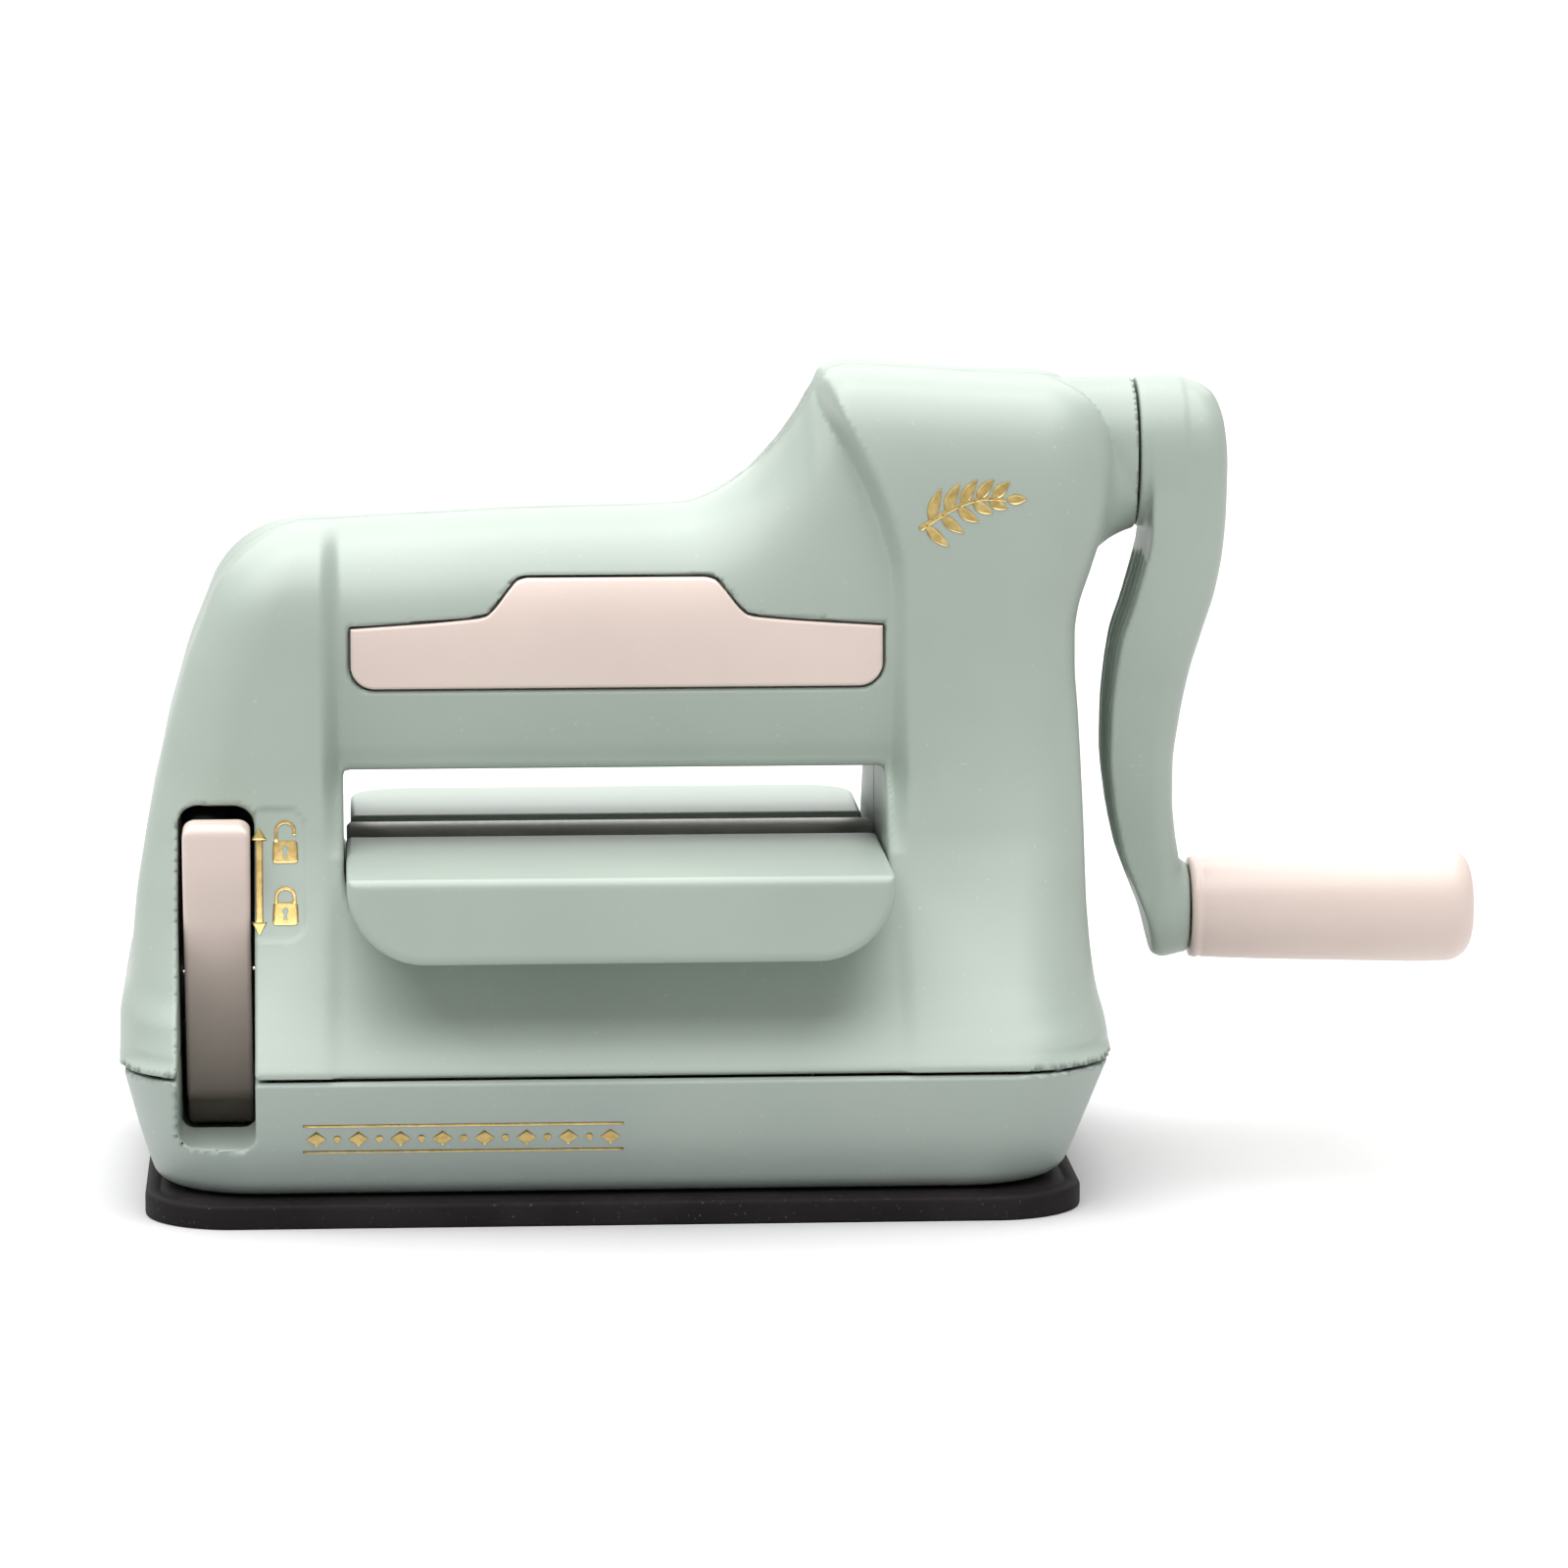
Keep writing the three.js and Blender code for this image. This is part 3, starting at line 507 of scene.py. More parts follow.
def net(distance, low, high, cell):
    """Mesh of the surface where distance(x, y, z) is zero, inside the box from low to high, in mm."""
    axes = [np.arange(a - 2 * cell, b + 3 * cell, cell) for a, b in zip(low, high)]
    x, y, z = np.meshgrid(*axes, indexing="ij")
    field = distance(x, y, z)
    shape = np.array(field.shape)
    total = np.zeros((*(shape - 1), 3))
    hits = np.zeros(shape - 1)
    crossings = []
    for axis in range(3):
        one = [slice(None)] * 3
        two = [slice(None)] * 3
        one[axis] = slice(0, -1)
        two[axis] = slice(1, None)
        a, b = field[tuple(one)], field[tuple(two)]
        crossed = (a < 0) != (b < 0)
        part = np.where(crossed, a / np.where(crossed, a - b, 1), 0)
        crossings.append((crossed, a < 0))
        others = [k for k in range(3) if k != axis]
        for p in (0, 1):
            for q in (0, 1):
                window = [slice(None)] * 3
                window[others[0]] = slice(p, p + shape[others[0]] - 1)
                window[others[1]] = slice(q, q + shape[others[1]] - 1)
                hit = crossed[tuple(window)]
                hits += hit
                total[..., axis] += np.where(hit, part[tuple(window)], 0)
                total[..., others[0]] += p * hit
                total[..., others[1]] += q * hit
    used = hits > 0
    number = np.full(used.shape, -1)
    number[used] = np.arange(used.sum())
    corner = np.argwhere(used)
    origin = np.array([a[0] for a in axes])
    points = origin + cell * (corner + total[used] / hits[used][:, None])

    faces = []
    for axis, (crossed, starts_inside) in enumerate(crossings):
        u, v = [k for k in range(3) if k != axis]
        place = np.argwhere(crossed)
        keep = (place[:, u] > 0) & (place[:, v] > 0)
        keep &= (place[:, u] < shape[u] - 1) & (place[:, v] < shape[v] - 1)
        place = place[keep]
        corners = []
        for du, dv in ((1, 1), (0, 1), (0, 0), (1, 0)):
            cell_index = place.copy()
            cell_index[:, u] -= du
            cell_index[:, v] -= dv
            corners.append(number[tuple(cell_index.T)])
        quads = np.stack(corners, axis=1)
        outward = starts_inside[tuple(place.T)] == (axis != 1)
        quads[~outward] = quads[~outward][:, ::-1]
        faces.append(quads)
    return settle(distance, points, cell) + (np.concatenate(faces),)


def gradient(distance, points, reach):
    """Slope of the distance at each point, by central differences."""
    slopes = []
    for axis in range(3):
        step = np.zeros(3)
        step[axis] = reach
        ahead = distance(*(points + step).T)
        behind = distance(*(points - step).T)
        slopes.append((ahead - behind) / (2 * reach))
    return np.stack(slopes, axis=1)


def settle(distance, points, cell):
    """Newton steps onto the surface, none longer than part of a cell; gives points and unit normals."""
    for _ in range(2):
        slope = gradient(distance, points, 0.1 * cell)
        size = np.maximum((slope ** 2).sum(axis=1), 0.1)
        move = -(distance(*points.T) / size)[:, None] * slope
        length = np.maximum(np.linalg.norm(move, axis=1), TINY)
        points = points + move * np.minimum(1, NEWTON_REACH * cell / length)[:, None]
    slope = gradient(distance, points, NEWTON_REACH * cell)
    normals = slope / np.maximum(np.linalg.norm(slope, axis=1), TINY)[:, None]
    return points, normals


def moulding(name, distance, low, high, cell, slot, body, replaces=()):
    """A piece from its distance formula."""
    points, normals, faces = net(distance, low, high, cell)
    return put(name, points, faces, slot, body, replaces, normals)


# %% [markdown]
# The housing's outside is described by a few curves. The roof line runs level over the rollers and sweeps up to the
# tower. In front view the side walls lean in. In side view the front is a barrel over the rollers and a skirt that
# flares to the base. The columns beside the opening stand a little proud of the barrel, with a soft groove between.

# %% Lines of the housing
front_low, front_high = limits("front_housing")
BODY_LEFT = front_low[0]
SEAM = front_low[2]
ROOF_TOP = front_high[2]
SKIRT_HALF = -front_low[1]
NECK_END = front_high[0]
tray_low, tray_high = limits("front_tray")
rear_tray_low, rear_tray_high = limits("rear_tray")
CLEARANCE = 0.4
OPEN_LEFT, OPEN_RIGHT = tray_low[0] - CLEARANCE, tray_high[0] + CLEARANCE
FEED_HEIGHT = 13.1
OPEN_TOP = tray_high[2] + FEED_HEIGHT
CRANK_Z = middle("crank_shaft")[2]
UPPER_Z = middle("upper_roller")[2]
LOWER_Z = middle("lower_roller")[2]
HUB_RADIUS = 12.7
NECK_START = 66
WALL = 2.3
BULGE_Z = 92.0

roof = curve(
    (BODY_LEFT, 109.6), (-54, 111.0), (-38, 111.8), (-11, 113.0), (6, 113.3), (12, 113.7), (15.4, 114.8),
    (22.1, 118.9), (27.1, 123.9), (31.0, 129.3), (33.4, 133.4), (36.0, 136.1), (39.2, 137.0), (43.0, 136.9),
    (50, 136.4), (62, 135.6), (82, 134.8), (NECK_END, 134.4))
left_wall = curve(
    (SEAM, BODY_LEFT + 0.1), (32.4, -83.8), (38.7, -82.2), (45, -81.6), (51.4, -81.0), (57.7, -80.0), (64, -78.9),
    (70.5, -77.4), (77, -76.0), (83, -74.3), (89.5, -72.4), (95.8, -69.9), (102, -67.5), (112, -63.8), (140, -52))
right_wall = curve(
    (SEAM, 81.4), (29.7, 80.9), (34, 79.8), (38, 79.1), (42, 78.7), (50, 78.3), (60, 78.2), (70, 77.9), (80, 77.4),
    (88, 76.9), (93, 76.9), (97, 77.4), (104, 79.6), (112, 82), (122, 83.2), (140, 83.2))
skirt = curve(
    (SEAM - 1, SKIRT_HALF), (SEAM + 0.5, SKIRT_HALF - 0.3), (28, 52.9), (32, 49.6), (38, 44.9), (46, 39.6),
    (54, 35.2), (62, 31.6), (72, 28.8), (82, 27.6), (BULGE_Z, 27.2), (140, 27.2))
barrel_dip = curve(
    (58, 0.4), (66, 2.6), (71.5, 5.4), (76, 4.4), (81, 3.6), (86, 3.1), (BULGE_Z, 2.8), (140, 2.8))
tower_edge = curve(
    (60, 46.6), (98, 46.8), (104, 46.6), (109, 45.6), (117, 43), (124, 39.6), (131, 35.8), (140, 33))
plan_corner = curve((SEAM, 18), (40, 14), (60, 11.5), (80, 11), (140, 12))

TOWER_SOFT = 1.8
GROOVE_START, GROOVE_END = -50.2, -46.6
# The padlocks stand in a shallow rounded patch of the left column.
PATCH_LOW, PATCH_HIGH, PATCH_CORNER, PATCH_DEPTH = (-62.5, 45.2), (-52.6, 66.4), 3.0, 0.3


def front_half(x, z):
    """How far the front stands from the middle plane: skirt below, a rounded barrel or column above.

    Above the bulge the width falls to the roof as a superellipse, which is fuller on the columns than on the barrel.
    """
    in_tower = soft_step(x, tower_edge(z) - TOWER_SOFT, tower_edge(z) + TOWER_SOFT)
    in_barrel = soft_step(x, GROOVE_START, GROOVE_END) * (1 - in_tower)
    width = skirt(z) - in_barrel * barrel_dip(z)
    patch = rectangle(x, z, PATCH_LOW, PATCH_HIGH, PATCH_CORNER)
    width = width - PATCH_DEPTH * (1 - soft_step(patch, -0.7, 0.1))
    rise = np.clip((z - BULGE_Z) / (roof(x) - BULGE_Z), 0, 1)
    power = 3.0 - 0.7 * in_barrel + 1.2 * in_tower
    return width * np.maximum(1 - rise ** power, 1e-4) ** (1 / power)


def housing_outside(x, y, z):
    """Distance to the housing's outer surface, before anything is cut out, open below the seam."""
    slope_x = slope_of(lambda at: front_half(at, z), x)
    slope_z = slope_of(lambda at: front_half(x, at), z)
    front = levelled(front_half(x, z), np.abs(y), slope_x, slope_z)
    body = np.maximum(front, levelled(roof(x), z, slope_of(roof, x)))
    left = levelled(-left_wall(z), -x, slope_of(left_wall, z))
    right = levelled(right_wall(z), x, slope_of(right_wall, z))
    body = meet(body, left, plan_corner(z))
    body = meet(body, right, plan_corner(z))
    neck = np.maximum(np.hypot(y, z - CRANK_Z) - HUB_RADIUS, np.maximum(x - NECK_END, NECK_START - x))
    fillet = 9.0 - 8.7 * soft_step(z, 108, 127)
    return join(body, neck, fillet)


print("housing lines from", BODY_LEFT, "to", NECK_END)

# %% [markdown]
# The feed gap, the sockets of the trays and the lever's slot are cut from that solid with small rounded rims. Then the
# shell is what lies within one wall thickness of the outside, so each cut gets a wall round it, as a moulding has.
# Slots for the rollers, bores for their journals and the recess for the cream panel come last.

# %% Panel outline
panel_low, panel_high = limits("cover_panel")
PANEL_MIDDLE = (panel_low[0] + panel_high[0]) / 2
PANEL_HALF = (panel_high[0] - panel_low[0]) / 2
PANEL_CORNER = 4.0
panel_top = curve(
    (0, 103.4), (14.6, 103.4), (16.4, 103.0), (17.8, 101.6),
    (20.6, 98.2), (21.9, 97.2), (24, 96.8), (46, 95.2))


def panel_bottom(across):
    """Lower edge of the panel at a distance from its middle, with a quarter circle at each end."""
    inside = np.clip(np.abs(across) - (PANEL_HALF - PANEL_CORNER), 0, PANEL_CORNER)
    return panel_low[2] + PANEL_CORNER - np.sqrt(PANEL_CORNER ** 2 - inside ** 2)


def panel_outline(x, z):
    """Distance to the panel's outline in the front view."""
    across = np.abs(x - PANEL_MIDDLE)
    above = levelled(panel_top(across), z, slope_of(panel_top, across, 0.1))
    sides = rectangle(x, z, (panel_low[0], panel_low[2]), (panel_high[0], 120), PANEL_CORNER)
    return np.maximum(above, sides)


# %% Housing shells
lever_low, lever_high = limits("suction_lever")
SLOT_LEFT, SLOT_RIGHT = lever_low[0] - 0.9, lever_high[0] + 0.7
SLOT_TOP = lever_high[2] + 1.6
SLOT_BACK = 4.0
slot_floor = curve((-60, 12.8), (-32, 12.7), (-24, 9.0), (-20, 8.6), (10, 8.6))
SLOT_CORNER, SLOT_FLOOR_ROUND, SLOT_RIM = 3.4, 2.4, 0.7
PANEL_DEPTH, PANEL_GAP, PANEL_WALL, PANEL_RIM = 1.9, 0.35, 1.6, 0.4
RIM = 0.9
SEAM_EDGE = 0.45
SEAM_HALF_GAP = 0.12
SOCKET_CORNER, SOCKET_CORNER_TOP = 13.4, 58
ROLLER_ROOM, JOURNAL_ROOM, JOURNAL_REACH, CRANK_ROOM = 12.2, 6, 60, 7.3
NOTCH_DROP, NOTCH_SLOPE = 3.2, 0.45


def slot_space(x, y, z):
    """The space that the lever swings in: rounded in front view, with a floor that drops towards its pivot."""
    outline = rectangle(x, z, (SLOT_LEFT, 5), (SLOT_RIGHT, SLOT_TOP), SLOT_CORNER)
    outline = meet(outline, slot_floor(y) - z, SLOT_FLOOR_ROUND)
    return np.maximum(outline, y - SLOT_BACK)


def opening(x, y, z, is_front):
    """The feed gap and, below it, the socket of the front or of the rear tray."""
    if is_front:
        low, corner = tray_low[2] - CLEARANCE, np.where(z < SOCKET_CORNER_TOP, SOCKET_CORNER, 0.8)
    else:
        low, corner = rear_tray_low[2] - CLEARANCE, 1.0
    return rectangle(x, z, (OPEN_LEFT, low), (OPEN_RIGHT, OPEN_TOP), corner)


def housing_shell(is_front):
    """The distance formula of one half of the housing; the front half is the one at -Y."""

    def distance(x, y, z):
        outside = housing_outside(x, y, z)
        solid = cut(outside, opening(x, y, z, is_front), RIM)
        if is_front:
            solid = cut(solid, slot_space(x, y, z), SLOT_RIM)
            recess = np.maximum(panel_outline(x, z) - PANEL_GAP, -(outside + PANEL_DEPTH))
            recess = np.maximum(recess, y)
            inside = np.maximum(solid + WALL, -(recess - PANEL_WALL))
            shell = cut(np.maximum(solid, -inside), recess, PANEL_RIM)
        else:
            shell = np.maximum(solid, -(solid + WALL))
        for axis_z in (UPPER_Z, LOWER_Z):
            across = np.hypot(y, z - axis_z)
            between = rectangle(x, x, (OPEN_LEFT,) * 2, (OPEN_RIGHT,) * 2, 0)
            shell = np.maximum(shell, -np.maximum(across - ROLLER_ROOM, between))
            shell = np.maximum(shell, -np.maximum(across - JOURNAL_ROOM, np.abs(x) - JOURNAL_REACH))
        bore = np.maximum(np.hypot(y, z - CRANK_Z) - CRANK_ROOM, NECK_END - 4 - x)
        shell = np.maximum(shell, -bore)
        # A small V in the right wall's upper edge, where the seam of the two halves meets the opening.
        notch = np.maximum(np.abs(y) + (OPEN_TOP - NOTCH_DROP - z) * NOTCH_SLOPE, OPEN_RIGHT - 0.5 - x)
        shell = np.maximum(shell, -np.maximum(notch, z - OPEN_TOP - 1))
        shell = meet(shell, SEAM - z, 0.5)
        split = y + SEAM_HALF_GAP if is_front else SEAM_HALF_GAP - y
        return meet(shell, split, SEAM_EDGE)

    return distance


HOUSING_CELL = 0.85
moulding("front_shell", housing_shell(True), front_low, (NECK_END, 0, ROOF_TOP), HOUSING_CELL,
         "housing_plastic", "body", ["front_housing"])

# %% [markdown]
# The rear half is the same formula on the other side of the seam, without the lever's slot and the panel. Five screws
# hold it. Each sits at the bottom of a round counterbore, which is one more cylinder taken away.

# %% Rear half
screw_places = [middle(f"housing_screw_{number}") for number in range(1, 6)]
POST_RADIUS, COUNTERBORE, SCREW_HOLE, HEAD_SEAT = 4.4, 3.1, 1.9, 8.4


def rear_shell(x, y, z):
    """The rear half with its screw posts and counterbores."""
    shell = housing_shell(False)(x, y, z)
    outside = np.maximum(housing_outside(x, y, z), SEAM_HALF_GAP - y)
    for sx, _, sz in screw_places:
        across = np.hypot(x - sx, z - sz)
        shell = np.minimum(shell, np.maximum(across - POST_RADIUS, outside))
        shell = cut(shell, np.maximum(across - COUNTERBORE, HEAD_SEAT - y), 0.5)
        shell = np.maximum(shell, -(across - SCREW_HOLE))
    return shell


moulding("rear_shell", rear_shell, (front_low[0], 0, SEAM), (NECK_END, SKIRT_HALF, ROOF_TOP), HOUSING_CELL,
         "housing_plastic", "body", ["rear_housing"])

# %% [markdown]
# The cream panel is a thin plate that follows the barrel. It is a grid: one parameter runs along the machine, the other
# from the lower edge to the upper one. The rim turns back on a small arc, so a thin dark line shows round it.


# %% Closed sheets
def closed_sheet(face, back):
    """Points and faces of a thin plate from two grids of points that match, the face on the outside."""
    rows, columns = face.shape[:2]
    front_faces = grid_faces(rows, columns)
    number = np.arange(rows * columns).reshape(rows, columns)
    rim = np.concatenate([number[0, :], number[1:, -1], number[-1, -2::-1], number[-2:0:-1, 0]])
    after = np.roll(rim, -1)
    walls = np.stack([rim, after, after + number.size, rim + number.size], axis=1)
    points = np.concatenate([face.reshape(-1, 3), back.reshape(-1, 3)])
    return points, np.concatenate([front_faces, front_faces[:, ::-1] + number.size, walls[:, ::-1]])


# %% Cover panel
def cover_panel():
    """Plate between the panel's lower and upper edge, wrapped on the barrel and closed at its back.

    The columns are closer together near both ends, and the rows near both edges. The rim turns back on a small arc.
    """
    columns, rows, trim, lip, proud = 220, 60, 0.05, 0.55, 0.15
    ease = (1 - np.cos(np.linspace(0, np.pi, columns))) / 2
    share = 0.5 * ease + 0.5 * np.linspace(0, 1, columns)
    x = panel_low[0] + trim + (panel_high[0] - panel_low[0] - 2 * trim) * share
    v = (1 - np.cos(np.linspace(0, np.pi, rows))) / 2
    x, v = np.meshgrid(x, v, indexing="ij")
    low, high = panel_bottom(x - PANEL_MIDDLE), panel_top(np.abs(x - PANEL_MIDDLE))
    z = low + (high - low) * v
    edge = np.minimum(np.minimum(z - low, high - z), PANEL_HALF - np.abs(x - PANEL_MIDDLE))
    inward = 1 - np.clip(edge / lip, 0, 1)
    round_off = lip * (1 - np.sqrt(1 - inward ** 2))
    face = np.stack([x, -(front_half(x, z) + proud) + round_off, z], axis=-1)
    back = np.stack([x, -(front_half(x, z) - PANEL_DEPTH + 0.3), z], axis=-1)
    points, faces = closed_sheet(face, back)
    return put("cover_plate", points, faces[:, ::-1], "cream_plastic", "body", ["cover_panel"])


cover_panel()

# %% [markdown]
# The base is a shallow tub under the seam, in a slightly cooler shade. Its walls lean in towards the mat and turn under
# with a larger radius. It holds the lower part of the lever's slot, with its own walls and floor.

# %% Base shell
base_low, base_high = limits("base_shell")
base_half = curve((base_low[2], 48.6), (8, 49.8), (14, 52.2), (base_high[2], SKIRT_HALF))
base_left = curve((base_low[2], -77.6), (8, -78.9), (14, -80.6), (base_high[2], base_low[0]))
base_right = curve((base_low[2], 73.0), (8, 74.7), (14, 76.8), (base_high[2], base_high[0]))
lift_low, lift_high = limits("lift_plate")
HOLE_RADIUS = (lift_high[0] - lift_low[0]) / 2 + 2.5
lever_shaft = middle("lever_shaft")
BASE_CORNER, BASE_TURN, SHAFT_ROOM = 17.5, 2.4, 3.6
LEAN = 0.96


def base_shell(x, y, z):
    """Tub with leaning walls, a floor with a round hole for the lift plate, and the lever's pocket."""
    low, high = base_left(z), base_right(z)
    qx = np.abs(x - (low + high) / 2) - (high - low) / 2 + BASE_CORNER
    qy = np.abs(y) - base_half(z) + BASE_CORNER
    plan = np.minimum(np.maximum(qx, qy), 0) + np.hypot(np.maximum(qx, 0), np.maximum(qy, 0)) - BASE_CORNER
    solid = meet(plan * LEAN, base_low[2] - z, BASE_TURN)
    solid = cut(solid, slot_space(x, y, z), 0.5)
    shell = np.maximum(solid, -(solid + WALL))
    shell = np.maximum(shell, -(np.hypot(x, y) - HOLE_RADIUS))
    bore = np.hypot(y - lever_shaft[1], z - lever_shaft[2]) - SHAFT_ROOM
    shell = np.maximum(shell, -np.maximum(bore, SLOT_RIGHT - 2 - x))
    return meet(shell, z - base_high[2], SEAM_EDGE)


moulding("base_tub", base_shell, base_low, base_high, HOUSING_CELL, "base_plastic", "body", ["base_shell"])

# %% [markdown]
# The front tray is a shelf with a deep, rounded lip that hangs over the skirt. Its lower corners are large quarter
# circles and its edges are soft. It is hollow from behind. The rear tray is a flatter shelf with rounded plan corners.


# %% Trays
SHELF = 2.4
LIP_CORNER, LIP_EDGE, LIP_BACK = 13.0, 1.8, -24
PLAN_CORNER, SKIRT_FRONT = 9.0, 24


def front_tray(x, y, z):
    """Lip and shelf: a rounded outline carried back, hollowed from behind, with a thin shelf up to the roller."""
    below = rectangle(x, z, (tray_low[0], tray_low[2]), (tray_high[0], tray_high[2] + 30), LIP_CORNER)
    outline = meet(below, z - tray_high[2], 0.8)
    block = meet(meet(outline, tray_low[1] - y, LIP_EDGE), y - LIP_BACK, 0.6)
    hollow = np.maximum(outline + WALL, tray_low[1] + SHELF - y)
    plate = meet(meet(outline, tray_high[2] - SHELF - z, 0.3), y - tray_high[1], 0.9)
    plate = np.maximum(plate, LIP_BACK - 6 - y)
    return np.minimum(np.maximum(block, -hollow), plate)


def rear_tray(x, y, z):
    """Shelf with rounded rear corners and a short skirt."""
    corner = np.where(y > SKIRT_FRONT, PLAN_CORNER, 0.6)
    plan = rectangle(x, y, rear_tray_low[:2], rear_tray_high[:2], corner)
    above = z - rear_tray_high[2]
    block = meet(meet(plan, above, 1.0), rear_tray_low[2] - z, 0.8)
    hollow = np.maximum(plan + WALL, above + SHELF)
    under_roller = np.maximum(above + SHELF, y - SKIRT_FRONT)
    return np.maximum(np.maximum(block, -hollow), -under_roller)


TRAY_CELL = 0.6
moulding("front_shelf", front_tray, tray_low, tray_high, TRAY_CELL, "housing_plastic", "body", ["front_tray"])
moulding("rear_shelf", rear_tray, rear_tray_low, rear_tray_high, TRAY_CELL,
         "housing_plastic", "body", ["rear_tray"])

# %% [markdown]
# The mat is a flat rubber sheet with rounded corners. A rounded rectangle is the path, and a small profile is carried
# round it: out from the middle underneath, up the edge, over a soft rim and in again along the top, with a fine groove.


# %% Mat
def rounded_path(low, high, corner, steps):
    """Points round a rounded rectangle in plan, anticlockwise: four quarter circles joined by straight sides."""
    turn = np.linspace(0, np.pi / 2, steps)
    points = []
    for quarter, (sx, sy) in enumerate(((1, 1), (-1, 1), (-1, -1), (1, -1))):
        centre_x = high[0] - corner if sx > 0 else low[0] + corner
        centre_y = high[1] - corner if sy > 0 else low[1] + corner
        angle = turn + quarter * np.pi / 2
        arc = corner * np.stack([np.cos(angle), np.sin(angle)], axis=1)
        points.append(np.array([centre_x, centre_y]) + arc)
    return np.concatenate(points)


MAT_CORNER, FAR_IN = 15.0, 1e9


def end_caps(rings, count):
    """One many-sided face for the first ring and one for the last, which close a stack of rings."""
    return [list(range(count))[::-1], list(range((rings - 1) * count, rings * count))]


def mat_sheet():
    """Rings that shrink from the outline to the middle, each at the height that the profile gives."""
    low, high = limits("suction_mat")
    outline = rounded_path(low, high, MAT_CORNER, 28)
    centre = np.array([(low[0] + high[0]) / 2, 0.0])
    reach = np.linalg.norm(outline - centre, axis=1)[:, None]
    top, rim = high[2], 0.9
    arc = np.linspace(0, np.pi / 2, 7)
    profile = [(FAR_IN, 0.0), (30, 0.0), (6, 0.0), (0.5, 0.0), (0.1, 0.15), (0, 0.5)]
    profile += [(rim * (1 - np.cos(a)), top - rim + rim * np.sin(a)) for a in arc]
    profile += [(2.5, top), (2.8, top - 0.25), (3.1, top), (12, top), (30, top), (FAR_IN, top)]
    rings = []
    for inset, height in profile:
        share = np.clip(1 - inset / reach, 0.02, 1)
        rings.append(np.column_stack([centre + (outline - centre) * share, np.full(len(outline), height)]))
    faces = grid_faces(len(rings), len(outline), wrap_columns=True)
    count = len(outline)
    return put("mat_sheet", np.concatenate(rings), faces[:, ::-1].tolist() + end_caps(len(rings), count),
               "rubber", "body", ["suction_mat"])


mat_sheet()

# %% [markdown]
# The rollers are turned from bar: a long barrel with a small chamfer, a step down to each journal, and a centre mark
# at each end. A profile turned round the X axis gives that exactly.


# %% Turned pieces
def turned(name, profile, axis_point, slot, body, replaces=(), turns=96):
    """A profile of (position, radius) rows, turned round a line along X through a point."""
    profile = np.array(profile, dtype=float)
    angle = np.linspace(0, 2 * np.pi, turns, endpoint=False)
    position, radius = profile[:, 0][:, None], profile[:, 1][:, None]
    across, up = radius * np.cos(angle), radius * np.sin(angle)
    along = np.broadcast_to(position, up.shape)
    points = np.stack([along, axis_point[1] + across, axis_point[2] + up], axis=-1)
    faces = grid_faces(len(profile), turns, wrap_columns=True)[:, ::-1].tolist() + end_caps(len(profile), turns)
    return put(name, points.reshape(-1, 3), faces, slot, body, replaces)


# %% Rollers
def roller(name, node, body):
    """A roller barrel between its two journals."""
    low, high = limits(node)
    radius = (high[2] - low[2]) / 2
    start, end = OPEN_LEFT + 0.5, OPEN_RIGHT - 0.5
    chamfer, journal = 0.6, 4.0
    profile = [
        (low[0] + 0.8, 0.3), (low[0], 1.1), (low[0], journal - 0.5), (low[0] + 0.5, journal), (start, journal),
        (start, radius - chamfer), (start + chamfer, radius), (start + 8, radius), (end - 8, radius),
        (end - chamfer, radius), (end, radius - chamfer), (end, journal), (high[0] - 0.5, journal),
        (high[0], journal - 0.5), (high[0], 1.1), (high[0] - 0.8, 0.3)]
    turned(name, profile, middle(node), "roller_steel", body, [node])


roller("lower_barrel", "lower_roller", "lower_roller")
roller("upper_barrel", "upper_roller", "upper_roller")

# %% [markdown]
# The crank arm sweeps inwards below the hub and out again to the grip. Its inner and outer faces are two curves over
# height, and in side view it tapers between two circles. Its outer edges are generously rounded. The inner face is
# ribbed: four long ridges, which a cosine across the width makes.

# %% Crank arm
GRIP_Z = middle("grip_pin")[2]
grip_low, grip_high = limits("crank_grip")
TIP_RADIUS = 8.2
HUB_FACE = NECK_END + 0.45
BOSS_END = grip_low[0] - 0.35
arm_inner = curve(
    (32, 94.6), (36, 92.8), (42.5, 90.4), (49, 87.8), (54, 86.1), (63, 84.4), (70.5, 83.7), (77, 83.8),
    (83, 84.3), (89.6, 85.3), (96.3, 87.4), (102.9, 89.3), (107, 90.2), (110, 90.4), (140, 90.4))
arm_outer = curve(
    (32, 97.2), (40, 97.2), (51.4, 96.3), (57.2, 95.4), (63, 94.9), (68.4, 94.9), (76.3, 95.8), (85, 97.5),
    (92, 99.6), (99, 101.7), (106, 102.9), (113, 103.4), (120, 103.5), (126.8, 103.1), (131.8, 102.0),
    (135, 100.0))


def arm_side(y, z):
    """Side view: a tapered bar with round ends, round the crank shaft above and the grip pin below."""
    share = np.clip((z - GRIP_Z) / (CRANK_Z - GRIP_Z), 0, 1)
    radius = TIP_RADIUS + (HUB_RADIUS - TIP_RADIUS) * share
    return np.hypot(y, z - (GRIP_Z + share * (CRANK_Z - GRIP_Z))) - radius


RIB_LOW = 47.0
RIDGE_PITCH, RIDGE_DEPTH = 4.6, 1.5
ARM_ROUND = 4.2
SCREW_HEAD_ROOM, SCREW_SEAT, SHAFT_HOLE, SHAFT_HOLE_END = 3.7, 101.7, 4.3, 99.3
PIN_HOLE, PIN_HOLE_START = 3.3, 91.5


